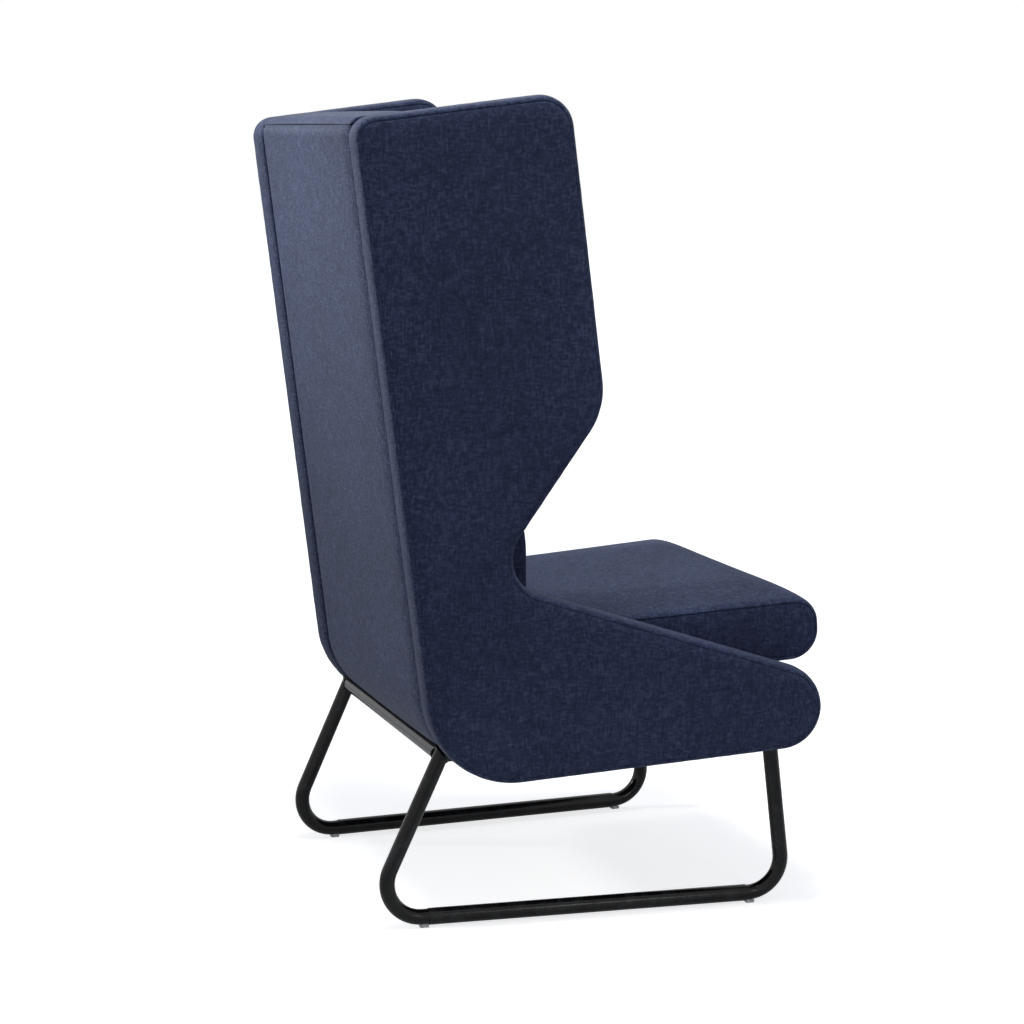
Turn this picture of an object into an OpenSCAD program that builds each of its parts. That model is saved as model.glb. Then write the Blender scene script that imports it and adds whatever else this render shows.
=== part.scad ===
// High back lounge chair: two tall upholstered side panels with a wing and a low arm,
// a reclined back between them, a thick seat, and a sled base of round steel tube.
// Millimetres. +Z is up, the sitter faces -Y, the origin is on the floor at the middle.

/* [Stance] */
// Width over the two side panels, measured at the origin
body_w = 665; // [560:1:820]
// Angle by which each side panel opens towards the front
flare = 3.4; // [0:0.1:6]
// Lean of the back away from vertical
recline = 7; // [2:0.5:12]
// Rise of the seat towards its front edge
seat_tilt = 3.7; // [0:0.1:7]

/* [Side panels] */
// Distance of the panel's lower rear corner behind the origin
heel_y = 235; // [215:0.5:255]
// Height of the panel's lower rear corner
heel_z = 204; // [190:1:225]
// Length of the panel's rear edge, before its corners are rounded
panel_length = 928; // [800:1:1050]
// Depth of the wing beside the head
wing_depth = 304; // [240:1:350]
// Distance of the wing's lower corner above the heel, along the rear edge
wing_rise = 494; // [440:1:560]
// Distance of the waist above the heel, along the rear edge
waist_rise = 283; // [250:1:330]
// Depth of the panel at the waist
waist_depth = 114; // [100:1:150]
// Fall of the arm's top edge towards the front
arm_slope = 17.9; // [14:0.1:21]
// Radius of the lower rear corner
heel_radius = 130; // [122:1:138]
// Radius of the upper rear corner
crown_rear_radius = 30; // [28:1:60]
// Radius of the upper front corner
crown_front_radius = 55; // [30:1:80]
// Radius of the wing's lower corner
wing_radius = 105; // [60:1:140]
// Radius of the hollow at the waist
waist_radius = 52; // [30:1:70]
// Radius of the arm's rounded nose
nose_radius = 62; // [45:1:70]

/* [Panel build-up] */
// Thickness of the plywood core
core_t = 18; // [12:0.5:22]
// Thickness of the outer padding
outer_pad_t = 18; // [10:0.5:26]
// Thickness of the inner padding
inner_pad_t = 17; // [10:0.5:26]
// Depth of the padded band that wraps the panel's edge
band_depth = 9; // [6:0.5:12]
// Radius that softens the band's two corners
band_round = 6.5; // [4:0.5:8]
// Rise of a panel's padding above its sewn edge
pad_crown = 1.5; // [0.5:0.1:3]

/* [Seat] */
// Height of the rear cross tube's axis
frame_z = 246; // [235:1:265]
// Distance of the rear cross tube's axis behind the origin
frame_y = 211.5; // [200:0.5:220]
// Distance from the rear cross tube to the front cross tube
frame_depth = 481.6; // [440:1:520]
// Height of the timber seat rails
rail_h = 49; // [35:1:60]
// Width of the two side seat rails
side_rail_w = 45; // [30:1:55]
// Width of the front and rear seat rails
cross_rail_w = 30; // [20:1:40]
// Thickness of the seat board
seat_board_t = 15; // [9:0.5:20]
// Thickness of the seat cushion
seat_t = 90; // [76:1:110]
// Gap between the seat cushion and each side panel
seat_side_gap = 4; // [2:0.5:8]
// Rise of the seat cushion's middle above its edges
seat_crown = 5; // [1:0.5:10]
// Swell of the back cushion's middle in front of its edges
back_crown = 5; // [1:0.5:10]
// Distance by which the cushion's nose stands in front of the apron
nose_overhang = 59.5; // [40:0.5:75]
// Radius of the cushion's nose at its upper edge
nose_top_radius = 30; // [20:1:44]
// Thickness of the padded apron over the front rail
apron_t = 9; // [5:0.5:12]
// Thickness of the bottom cloth
cloth_t = 1.2; // [0.8:0.1:2]

/* [Back] */
// Depth of the whole back at its top
back_top_depth = 88; // [70:1:110]
// Depth of the whole back at the lumbar swell
lumbar_depth = 187; // [150:1:210]
// Distance of the lumbar swell above the heel, along the rear edge
lumbar_rise = 330; // [280:1:380]
// Thickness of the rear padding
rear_pad_t = 15; // [10:0.5:20]
// Set-back of the rear padding from the side panels' rear edge
rear_recess = 4; // [2:0.5:8]
// Thickness of the hardboard behind the back's timbers
rear_panel_t = 4; // [3:0.5:6]
// Thickness of the plywood board in front of the back's timbers
back_board_t = 10; // [6:0.5:12]
// Depth of the back's upright timbers
stile_depth = 25; // [18:1:32]
// Width of the back's upright timbers
stile_w = 30; // [20:1:40]
// Height of the back's top timber
top_rail_h = 50; // [30:1:70]
// Thickness of the padded strip along the back's top
top_band_t = 10; // [6:0.5:14]
// Thickness of the back cushion at the lumbar swell
cushion_t = 60; // [45:1:75]
// Distance of the lumbar block's upper end below the top band
block_drop = 118; // [70:1:210]

/* [Sled base] */
// Outer diameter of the steel tube
tube_d = 22; // [19:0.5:25]
// Wall thickness of the steel tube
tube_wall = 2; // [1.2:0.1:3]
// Radius of the lower bends, at the tube's axis
bend_radius = 50; // [40:1:60]
// Lean of the rear legs, forwards as they rise
rear_leg_lean = 24.7; // [18:0.1:30]
// Lean of the front legs, backwards as they rise
front_leg_lean = 6.4; // [2:0.1:12]
// Wall of the sleeve on the straight floor stretch
sleeve_wall = 1; // [0.6:0.1:1.5]
// Height of the floor glides under the tube
glide_h = 3.5; // [2.5:0.1:6]
// Length of a floor glide
glide_length = 12; // [8:1:14]
// Width of a floor glide
glide_w = 11; // [8:1:16]

/* [Fixings] */
// Diameter of the bolts that hold the side panels
side_bolt_d = 8; // [6:0.5:10]
// Diameter of the bolts that hold the base
base_bolt_d = 6; // [5:0.5:8]
// Thickness of the steel tabs on the base
tab_t = 3; // [2:0.5:5]
// Diameter of the timber spacers let into the inner padding
spacer_d = 18; // [14:1:20]

/* [Hidden] */
$fn = 48;

// General clearances and helpers
unit = 1;
fit = 0.3 * unit;
overrun = 2 * unit;
half_w = body_w / 2;
panel_t = outer_pad_t + core_t + inner_pad_t;
reach = 2 * panel_length;

function unit_vector(v) = v / norm(v);
function left_normal(v) = [-v.y, v.x];
function flat(lists) = [for (list = lists) for (item = list) item];

// A point of the reclined frame: depth forward of the rear edge, rise along it
function leaned(depth, rise) = [
    heel_y - depth * cos(recline) + rise * sin(recline),
    heel_z + depth * sin(recline) + rise * cos(recline)
];

// A point of the tilted seat frame: run forward of the rear cross tube, lift above its axis
function tilted(run, lift) = [
    frame_y - run * cos(seat_tilt) + lift * sin(seat_tilt),
    frame_z + run * sin(seat_tilt) + lift * cos(seat_tilt)
];

// Where two lines cross, each given by a point and a direction
function crossing(p, a, q, b) = p + a * cross(q - p, b) / cross(a, b);

// Centre of a rounded corner, from the directions of its two sides
function arc_centre(corner, a, b, radius) =
    corner + unit_vector(b - a) * radius / cos(acos(a * b) / 2);

// Points of one rounded corner of an outline that runs anticlockwise
function corner_arc(before, corner, after, radius, inset, steps) =
    let (
        a = unit_vector(corner - before),
        b = unit_vector(after - corner),
        side = sign(cross(a, b)),
        turn = acos(a * b),
        centre = arc_centre(corner, a, b, radius),
        start = -side * left_normal(a),
        from = atan2(start.y, start.x)
    )
    [for (i = [0:steps])
        centre + (radius - side * inset)
            * [cos(from + side * turn * i / steps), sin(from + side * turn * i / steps)]];

// The rounded corners from one row to another, drawn in by an inset
function arcs(rows, inset, first, last) =
    let (count = len(rows))
    flat([for (i = [first:last])
        corner_arc(rows[(i + count - 1) % count][0], rows[i][0], rows[(i + 1) % count][0],
            rows[i][1], inset, rows[i][2])]);

// A closed outline from rows of corner, radius and steps, drawn in by an inset
function outline(rows, inset) = arcs(rows, inset, 0, len(rows) - 1);

function reversed(list) = [for (i = [1:len(list)]) list[len(list) - i]];

// Skin over equal rings of points, from low x to high x. Each end is closed by triangles
// that meet at its hub, or without hubs by triangles between the ring's two halves
module skin(rings, hubs = []) {
    count = len(rings[0]);
    last = len(rings) - 1;
    end = last * count;
    hub = end + count;
    sides = [for (k = [0:last - 1]) for (i = [0:count - 1])
        [k * count + i, (k + 1) * count + i,
         (k + 1) * count + (i + 1) % count, k * count + (i + 1) % count]];
    fans = [for (i = [0:count - 1])
        let (next = (i + 1) % count)
        [[i, next, hub], [end + next, end + i, hub + 1]]];
    ladders = [for (i = [0:count / 2 - 2])
        let (far = count - 1 - i)
        [[i, i + 1, far], [i + 1, far - 1, far],
         [end + i + 1, end + i, end + far], [end + far - 1, end + i + 1, end + far]]];
    polyhedron(concat(flat(rings), hubs), concat(sides, flat(len(hubs) > 0 ? fans : ladders)),
        convexity = 8);
}

// Skin over rings that come back to the first one
module hoop_skin(rings) {
    count = len(rings[0]);
    total = len(rings);
    sides = [for (k = [0:total - 1]) for (i = [0:count - 1])
        [k * count + i, ((k + 1) % total) * count + i,
         ((k + 1) % total) * count + (i + 1) % count, k * count + (i + 1) % count]];
    polyhedron(flat(rings), sides, convexity = 8);
}

// The children's flat outline, drawn in depth and height, made solid from one x to another
module slab(from, to) {
    translate([from, 0, 0]) rotate([90, 0, 90]) linear_extrude(to - from, convexity = 6) children();
}

// The left side panel's own frame: x = 0 is its outer face, inwards is negative
module left_frame() {
    translate([half_w, 0, 0]) rotate([0, 0, flare]) children();
}

module on_side(side) {
    if (side > 0) left_frame() children();
    else mirror([1, 0, 0]) left_frame() children();
}

// Half of the width left between the panels, at a depth inside their outer faces
function half_between(y, depth) = half_w - (depth + y * sin(flare)) / cos(flare);

// Distance along a side panel of the place y, at a depth inside the outer face
function along(y, depth) = (y + depth * sin(flare)) / cos(flare);

// The space between the two side panels, at a depth inside their outer faces
module between(depth) {
    linear_extrude(reach, convexity = 2) polygon([
        [half_between(-reach / 2, depth), -reach / 2], [half_between(reach / 2, depth), reach / 2],
        [-half_between(reach / 2, depth), reach / 2], [-half_between(-reach / 2, depth), -reach / 2]]);
}

// A flat outline made solid across the chair, up to the panels at that depth
module spanning(depth) {
    intersection() {
        slab(-body_w, body_w) children();
        between(depth);
    }
}

// A flat outline made solid beside the left panel, from one depth to another
module beside(side, depth, inner_depth) {
    mirror([side > 0 ? 0 : 1, 0, 0]) intersection() {
        difference() {
            slab(0, body_w) children();
            between(inner_depth);
        }
        between(depth);
    }
}

module leaned_box(depth_from, depth_to, rise_from, rise_to) {
    polygon([leaned(depth_to, rise_from), leaned(depth_from, rise_from),
        leaned(depth_from, rise_to), leaned(depth_to, rise_to)]);
}

module tilted_box(run_from, run_to, lift_from, lift_to) {
    polygon([tilted(run_to, lift_from), tilted(run_from, lift_from),
        tilted(run_from, lift_to), tilted(run_to, lift_to)]);
}

// Side panel outline
arm_along = [-cos(arm_slope), -sin(arm_slope)];
sole_along = [-cos(seat_tilt), sin(seat_tilt)];
heel_corner = [heel_y, heel_z];
waist_corner = leaned(waist_depth, waist_rise);
nose_corner = crossing(waist_corner, arm_along, heel_corner, sole_along);
panel_rows = [
    [heel_corner, heel_radius, 12],
    [leaned(0, panel_length), crown_rear_radius, 7],
    [leaned(wing_depth, panel_length), crown_front_radius, 8],
    [leaned(wing_depth, wing_rise), wing_radius, 6],
    [waist_corner, waist_radius, 9],
    [nose_corner, nose_radius, 16]
];

function panel_ring(x, inset) = [for (p = outline(panel_rows, inset)) [x, p.x, p.y]];

// A point behind the waist from which the whole outline is seen
wing_along = unit_vector(leaned(wing_depth, wing_rise) - waist_corner);
panel_hub = waist_corner - 0.5 * waist_depth * unit_vector(wing_along + arm_along);

// Places of the two seat fixings and the three back fixings on each side
seat_fix_runs = [frame_depth * 0.2, frame_depth * 0.85];
seat_fix_lift = tube_d / 2 + rail_h / 2;
back_fix_rises = [panel_length * 0.3, panel_length * 0.58, panel_length * 0.86];
pad_inner = rear_recess + rear_pad_t;
stile_rear = pad_inner + rear_panel_t;
stile_front = stile_rear + stile_depth;
board_front = stile_front + back_board_t;
back_fix_depth = (stile_rear + stile_front) / 2;
fix_depth = panel_t + stile_w / 2;
seat_fixings = [for (run = seat_fix_runs) tilted(run, seat_fix_lift)];
back_fixings = [for (rise = back_fix_rises) leaned(back_fix_depth, rise)];
fixings = concat(
    [for (p = seat_fixings) [p, side_rail_w]],
    [for (p = back_fixings) [p, stile_w]]);

// Side bolts
bolt_hole_r = 0.55 * side_bolt_d;
bolt_head_h = 0.65 * side_bolt_d;
bolt_head_r = 0.94 * side_bolt_d;
washer_r = 1.25 * side_bolt_d;
washer_t = 0.2 * side_bolt_d;
tee_flange_r = 1.4 * side_bolt_d;
tee_flange_t = 0.19 * side_bolt_d;
tee_barrel_r = 0.68 * side_bolt_d;
tee_barrel_h = 0.75 * core_t;
thread_gap = 0.1 * unit;

// A rod along the left panel's inward direction, between two depths
module side_rod(point, from, to, radius, sides = 40) {
    translate([-to, along(point.x, fix_depth), point.y])
        rotate([0, 90, 0]) cylinder(h = to - from, r = radius, $fn = sides);
}

module side_holes(radius) {
    for (fixing = fixings) side_rod(fixing[0], -overrun, panel_t + 2 * side_rail_w, radius);
}

module side_board() {
    difference() {
        slab(-outer_pad_t - core_t, -outer_pad_t) polygon(outline(panel_rows, band_depth));
        for (fixing = fixings) {
            side_rod(fixing[0], 0, outer_pad_t + tee_flange_t, tee_flange_r);
            side_rod(fixing[0], 0, panel_t, tee_barrel_r);
        }
    }
}

module left_side_board() { color("burlywood") on_side(1) side_board(); }
module right_side_board() { color("burlywood") on_side(-1) side_board(); }

// Padding rings: share of the crown given up, and how far each ring is drawn in
edge_step = 0.22 * band_depth;
shoulder_step = 0.7 * band_depth;
crown_step = 1.2 * band_depth;

module outer_pad() {
    skin([
        panel_ring(-outer_pad_t, band_depth),
        panel_ring(-2.3 * pad_crown, band_depth),
        panel_ring(-1.1 * pad_crown, band_depth + edge_step),
        panel_ring(-0.6 * pad_crown, band_depth + shoulder_step),
        panel_ring(0, band_depth + crown_step)
    ], [[-outer_pad_t, panel_hub.x, panel_hub.y], [0, panel_hub.x, panel_hub.y]]);
}

module left_outer_pad() { color("midnightblue") on_side(1) outer_pad(); }
module right_outer_pad() { color("midnightblue") on_side(-1) outer_pad(); }

// Flat inner padding with the spacers' holes, and the rolled edge round it
module inner_pad() {
    difference() {
        slab(-panel_t, -outer_pad_t - core_t) polygon(outline(panel_rows, band_depth + crown_step));
        for (fixing = fixings)
            side_rod(fixing[0], outer_pad_t, panel_t + overrun, spacer_d / 2 + fit);
    }
}

module inner_roll() {
    hoop_skin([
        panel_ring(-panel_t + 2.3 * pad_crown, band_depth),
        panel_ring(-outer_pad_t - core_t, band_depth),
        panel_ring(-outer_pad_t - core_t, band_depth + crown_step),
        panel_ring(-panel_t, band_depth + crown_step),
        panel_ring(-panel_t + 0.6 * pad_crown, band_depth + shoulder_step),
        panel_ring(-panel_t + 1.1 * pad_crown, band_depth + edge_step)
    ]);
}

module left_inner_roll() { color("midnightblue") on_side(1) inner_roll(); }
module right_inner_roll() { color("midnightblue") on_side(-1) inner_roll(); }

module left_inner_pad() { color("midnightblue") on_side(1) inner_pad(); }
module right_inner_pad() { color("midnightblue") on_side(-1) inner_pad(); }

module spacers() {
    difference() {
        for (fixing = fixings)
            side_rod(fixing[0], outer_pad_t + core_t, panel_t, spacer_d / 2);
        side_holes(bolt_hole_r);
    }
}

module left_spacers() { color("tan") on_side(1) spacers(); }
module right_spacers() { color("tan") on_side(-1) spacers(); }

// Edge band section, from the inner seam round to the outer seam, as x and inset
band_crown = 0.12 * band_depth;
band_section = [
    [-panel_t + 2.3 * pad_crown, band_depth],
    [-panel_t + 0.9 * pad_crown, 0.86 * band_depth],
    [-panel_t + 0.4 * pad_crown, 0.62 * band_depth],
    [-panel_t + 0.32 * band_round + 0.4 * pad_crown, 0.3 * band_depth],
    [-panel_t + band_round, band_crown],
    [-panel_t / 2, 0],
    [-band_round, band_crown],
    [-0.32 * band_round - 0.4 * pad_crown, 0.3 * band_depth],
    [-0.4 * pad_crown, 0.62 * band_depth],
    [-0.9 * pad_crown, 0.86 * band_depth],
    [-2.3 * pad_crown, band_depth]
];

module edge_band() {
    hoop_skin([for (place = band_section) panel_ring(place.x, place.y)]);
}

module left_edge_band() { color("navy") on_side(1) edge_band(); }
module right_edge_band() { color("navy") on_side(-1) edge_band(); }

module side_bolt(point, timber_w) {
    head = panel_t + timber_w + washer_t;
    side_rod(point, outer_pad_t + tee_flange_t, head, side_bolt_d / 2);
    side_rod(point, head, head + bolt_head_h, bolt_head_r, 6);
}

module side_washer(point, timber_w) {
    difference() {
        side_rod(point, panel_t + timber_w, panel_t + timber_w + washer_t, washer_r);
        side_rod(point, 0, panel_t + 2 * timber_w, bolt_hole_r);
    }
}

module side_tee_nut(point) {
    difference() {
        union() {
            side_rod(point, outer_pad_t, outer_pad_t + tee_flange_t, tee_flange_r);
            side_rod(point, outer_pad_t, outer_pad_t + tee_barrel_h, tee_barrel_r);
        }
        side_rod(point, 0, panel_t, side_bolt_d / 2 + thread_gap);
    }
}

module side_bolts() {
    color("silver") for (side = [1, -1]) on_side(side)
        for (fixing = fixings) side_bolt(fixing[0], fixing[1]);
}

module side_washers() {
    color("lightgrey") for (side = [1, -1]) on_side(side)
        for (fixing = fixings) side_washer(fixing[0], fixing[1]);
}

module side_tee_nuts() {
    color("grey") for (side = [1, -1]) on_side(side)
        for (fixing = fixings) side_tee_nut(fixing[0]);
}

// Sled base
tube_r = tube_d / 2;
bore_r = tube_r - tube_wall;
tube_depth = panel_t + fit + tube_r;
floor_axis_z = glide_h + tube_r;
rear_top = tilted(0, 0);
front_top = tilted(frame_depth, 0);
rear_leg_up = [-sin(rear_leg_lean), cos(rear_leg_lean)];
front_leg_up = [sin(front_leg_lean), cos(front_leg_lean)];
rear_top_at = [along(rear_top.x, tube_depth), rear_top.y];
front_top_at = [along(front_top.x, tube_depth), front_top.y];
rail_way = unit_vector(front_top_at - rear_top_at);
rear_foot = crossing(rear_top_at, rear_leg_up, [0, floor_axis_z], [1, 0]);
front_foot = crossing(front_top_at, front_leg_up, [0, floor_axis_z], [1, 0]);
rear_tangent = bend_radius / tan((90 - rear_leg_lean) / 2);
front_tangent = bend_radius / tan((90 - front_leg_lean) / 2);
rear_bend_at = rear_foot.x - rear_tangent;
front_bend_at = front_foot.x + front_tangent;
floor_span = rear_bend_at - front_bend_at;
rear_bend_end = rear_foot + rear_leg_up * rear_tangent;
front_bend_end = front_foot + front_leg_up * front_tangent;
sleeve_gap = 3 * unit;
sleeve_rear = rear_bend_at - 3 * sleeve_gap;
sleeve_front = front_bend_at + sleeve_gap;
tube_sides = 48;

// A round rod between two points of the depth and height plane, in a panel's frame
module plane_rod(from, to, radius) {
    way = to - from;
    translate([-tube_depth, from.x, from.y]) rotate([atan2(-way.x, way.y), 0, 0])
        cylinder(h = norm(way), r = radius, $fn = tube_sides);
}

// Everything beyond the mitre between two tubes, on the side that the way points to
module beyond_mitre(corner, way) {
    size = 6 * tube_d;
    translate([-tube_depth, corner.x, corner.y]) rotate([atan2(-way.x, way.y), 0, 0])
        translate([-size / 2, -size / 2, 0]) cube(size);
}

rear_mitre = unit_vector(rear_leg_up + rail_way);
front_mitre = unit_vector(front_leg_up - rail_way);

glide_places = [sleeve_rear + fit + glide_length / 2, sleeve_front - fit - glide_length / 2];
pin_r = 0.2 * glide_w;
pin_hole_r = pin_r + thread_gap;
mitre_stretch = 2 * tube_d;

module glide_pin(place, radius, top) {
    translate([-tube_depth, place, glide_h / 2])
        cylinder(h = top - glide_h / 2, r = radius, $fn = 24);
}

// A straight piece of tube in a panel's frame, with its bore
module plane_tube(from, to) {
    way = unit_vector(to - from) * overrun;
    difference() {
        plane_rod(from, to, tube_r);
        plane_rod(from - way, to + way, bore_r);
    }
}

// A bend that rises from one end of the floor stretch
module bent_tube(sweep) {
    translate([0, 0, bend_radius]) rotate([90, 0, 90]) rotate([0, 0, -90])
        rotate_extrude(angle = sweep, $fn = 2 * tube_sides) translate([bend_radius, 0])
            difference() {
                circle(r = tube_r, $fn = tube_sides);
                circle(r = bore_r, $fn = tube_sides);
            }
}

// The hole for a glide's pin, at a distance beyond the end of the floor stretch
module pin_hole(beyond) {
    translate([0, beyond, -floor_axis_z])
        cylinder(h = floor_axis_z, r = pin_hole_r, $fn = 24);
}

module floor_tube() {
    translate([-tube_depth, rear_bend_at, floor_axis_z]) {
        bent_tube(90 + rear_leg_lean);
        difference() {
            rotate([90, 0, 0]) cylinder(h = floor_span, r = tube_r, $fn = tube_sides);
            translate([0, overrun, 0]) rotate([90, 0, 0])
                cylinder(h = floor_span + 2 * overrun, r = bore_r, $fn = tube_sides);
            pin_hole(glide_places[0] - rear_bend_at);
        }
        translate([0, -floor_span, 0]) mirror([0, 1, 0]) difference() {
            bent_tube(90 + front_leg_lean);
            pin_hole(front_bend_at - glide_places[1]);
        }
    }
}

module left_floor_tube() { color("black") on_side(1) floor_tube(); }
module right_floor_tube() { color("black") on_side(-1) floor_tube(); }

module leg(from, corner, up, mitre) {
    difference() {
        plane_tube(from, corner + up * mitre_stretch);
        beyond_mitre(corner, mitre);
    }
}

module rear_leg() { leg(rear_bend_end, rear_top_at, rear_leg_up, rear_mitre); }
module front_leg() { leg(front_bend_end, front_top_at, front_leg_up, front_mitre); }
module left_rear_leg() { color("black") on_side(1) rear_leg(); }
module right_rear_leg() { color("black") on_side(-1) rear_leg(); }
module left_front_leg() { color("black") on_side(1) front_leg(); }
module right_front_leg() { color("black") on_side(-1) front_leg(); }

module top_rail() {
    stretch = rail_way * mitre_stretch;
    difference() {
        plane_tube(rear_top_at - stretch, front_top_at + stretch);
        beyond_mitre(rear_top_at, -rear_mitre);
        beyond_mitre(front_top_at, -front_mitre);
    }
}

module left_top_rail() { color("black") on_side(1) top_rail(); }
module right_top_rail() { color("black") on_side(-1) top_rail(); }

// The outer skin of both hoops and rails, for the ends of the cross tubes
module frame_envelope() {
    for (side = [1, -1]) on_side(side) {
        plane_rod(rear_bend_end, rear_top_at + rear_leg_up * tube_d, tube_r);
        plane_rod(front_bend_end, front_top_at + front_leg_up * tube_d, tube_r);
        plane_rod(rear_top_at - rail_way * tube_d, front_top_at + rail_way * tube_d, tube_r);
    }
}

module cross_tube(point) {
    half = half_between(point.x, tube_depth);
    difference() {
        translate([-half, point.x, point.y]) rotate([0, 90, 0])
            cylinder(h = 2 * half, r = tube_r, $fn = tube_sides);
        translate([-half - overrun, point.x, point.y]) rotate([0, 90, 0])
            cylinder(h = 2 * (half + overrun), r = bore_r, $fn = tube_sides);
        frame_envelope();
    }
}

module rear_cross_tube() { color("dimgrey") cross_tube(rear_top); }
module front_cross_tube() { color("dimgrey") cross_tube(front_top); }

module rail_sleeve() {
    difference() {
        plane_rod([sleeve_front, floor_axis_z], [sleeve_rear, floor_axis_z], tube_r + sleeve_wall);
        plane_rod([sleeve_front - overrun, floor_axis_z], [sleeve_rear + overrun, floor_axis_z],
            tube_r);
    }
}

module left_rail_sleeve() { color("black") on_side(1) rail_sleeve(); }
module right_rail_sleeve() { color("black") on_side(-1) rail_sleeve(); }

module floor_glides() {
    saddle_h = glide_h + 0.14 * tube_d;
    color("whitesmoke") for (side = [1, -1]) on_side(side) {
        difference() {
            for (place = glide_places)
                translate([-tube_depth - glide_w / 2, place - glide_length / 2, 0])
                    cube([glide_w, glide_length, saddle_h]);
            plane_rod([sleeve_front - reach, floor_axis_z], [sleeve_rear + reach, floor_axis_z],
                tube_r + thread_gap);
        }
        for (place = glide_places) glide_pin(place, pin_r, glide_h + 1.6 * tube_wall);
    }
}

// Steel tabs on the top rails, with bolts up into the seat rails
tab_runs = [frame_depth * 0.28, frame_depth * 0.72];
tab_w = 5.5 * base_bolt_d;
tab_reach = 1.35 * tube_d;
tab_bolt_depth = tube_depth + 0.85 * tube_d;
tab_lift = tube_r - tab_t;
base_hole_r = base_bolt_d / 2 + fit;
base_head_h = 0.65 * base_bolt_d;
base_head_r = 0.92 * base_bolt_d;
base_washer_r = 1.15 * base_bolt_d;
base_washer_t = 0.2 * base_bolt_d;
base_flange_r = 1.5 * base_bolt_d;
base_flange_t = 0.25 * base_bolt_d;
base_barrel_r = 0.7 * base_bolt_d;
base_barrel_h = 1.5 * base_bolt_d;
frame_top = tube_r + rail_h;

// The tilted frame at each tab's run along both top rails, at a depth inside the panel
module at_tabs(depth) {
    for (side = [0, 1]) mirror([side, 0, 0])
        for (run = tab_runs)
            translate([half_between(tilted(run, 0).x, depth), tilted(run, 0).x, tilted(run, 0).y])
                rotate([-seat_tilt, 0, 0]) rotate([0, 0, flare]) children();
}

module disc(from, to, radius, sides = 32) {
    translate([0, 0, from]) cylinder(h = to - from, r = radius, $fn = sides);
}

module top_rail_envelopes(radius) {
    for (side = [1, -1]) on_side(side) plane_rod(rear_top_at, front_top_at, radius);
}

module base_tabs() {
    color("dimgrey") difference() {
        at_tabs(tube_depth)
            translate([-tab_reach, -tab_w / 2, tab_lift]) cube([tab_reach, tab_w, tab_t]);
        at_tabs(tab_bolt_depth) disc(0, frame_top, base_hole_r);
        top_rail_envelopes(tube_r);
    }
}

head_top = tab_lift - base_washer_t;

module base_bolts() {
    color("silver") at_tabs(tab_bolt_depth) {
        disc(head_top, head_top + tab_t + rail_h, base_bolt_d / 2);
        disc(head_top - base_head_h, head_top, base_head_r, 6);
    }
}

module base_washers() {
    color("lightgrey") at_tabs(tab_bolt_depth) difference() {
        disc(head_top, tab_lift, base_washer_r);
        disc(head_top - overrun, tab_lift + overrun, base_hole_r);
    }
}

module base_tee_nuts() {
    color("grey") at_tabs(tab_bolt_depth) difference() {
        union() {
            disc(frame_top - base_flange_t, frame_top, base_flange_r);
            disc(frame_top - base_barrel_h, frame_top, base_barrel_r);
        }
        disc(frame_top - 2 * base_barrel_h, frame_top + overrun, base_bolt_d / 2 + thread_gap);
    }
}

// Seat frame
seat_rear_run = 26.5 * unit;
seat_front_run = frame_depth + cross_rail_w / 2;
rail_depth = panel_t + side_rail_w;

module seat_rail(side) {
    difference() {
        beside(side, panel_t, rail_depth)
            tilted_box(seat_rear_run, seat_front_run, tube_r, frame_top);
        on_side(side) side_holes(bolt_hole_r);
        at_tabs(tab_bolt_depth) {
            disc(0, 2 * frame_top, base_hole_r);
            disc(frame_top - base_flange_t, 2 * frame_top, base_flange_r);
            disc(frame_top - base_barrel_h, 2 * frame_top, base_barrel_r);
        }
    }
}

module left_seat_rail() { color("wheat") seat_rail(1); }
module right_seat_rail() { color("wheat") seat_rail(-1); }

module front_seat_rail() {
    color("wheat") spanning(rail_depth)
        tilted_box(seat_front_run - cross_rail_w, seat_front_run, tube_r, frame_top);
}

module rear_seat_rail() {
    color("wheat") spanning(rail_depth)
        tilted_box(seat_rear_run, seat_rear_run + cross_rail_w, tube_r, frame_top);
}

board_top = frame_top + seat_board_t;
side_gap = unit;

module seat_board() {
    color("burlywood") spanning(panel_t + side_gap)
        tilted_box(seat_rear_run, seat_front_run, frame_top, board_top);
}

apron_front = seat_front_run + apron_t;

module front_apron() {
    color("navy") spanning(panel_t + side_gap)
        tilted_box(seat_front_run, apron_front, tube_r, board_top);
}

cloth_margin = 4 * unit;

module bottom_cloth() {
    color("black") difference() {
        spanning(tube_depth + tube_r + cloth_margin)
            tilted_box(seat_rear_run + cloth_margin, seat_front_run - cross_rail_w + cloth_margin,
                tube_r - cloth_t, tube_r);
        at_tabs(tube_depth) translate([-tab_reach - fit, -tab_w / 2 - fit, 0])
            cube([tab_reach + overrun, tab_w + 2 * fit, 2 * tube_r]);
    }
}

// Stations across a cushion: share of the half width, gap to the side, drawn-in edge
edge_soft = 9 * unit;
cushion_stations = [
    [-1, 0, 1], [-1, 0.24, 0.4], [-1, 0.7, 0.08], [-0.72, 0.7, 0], [-0.36, 0.7, 0], [0, 0.7, 0],
    [0.36, 0.7, 0], [0.72, 0.7, 0], [1, 0.7, 0.08], [1, 0.24, 0.4], [1, 0, 1]
];

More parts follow.
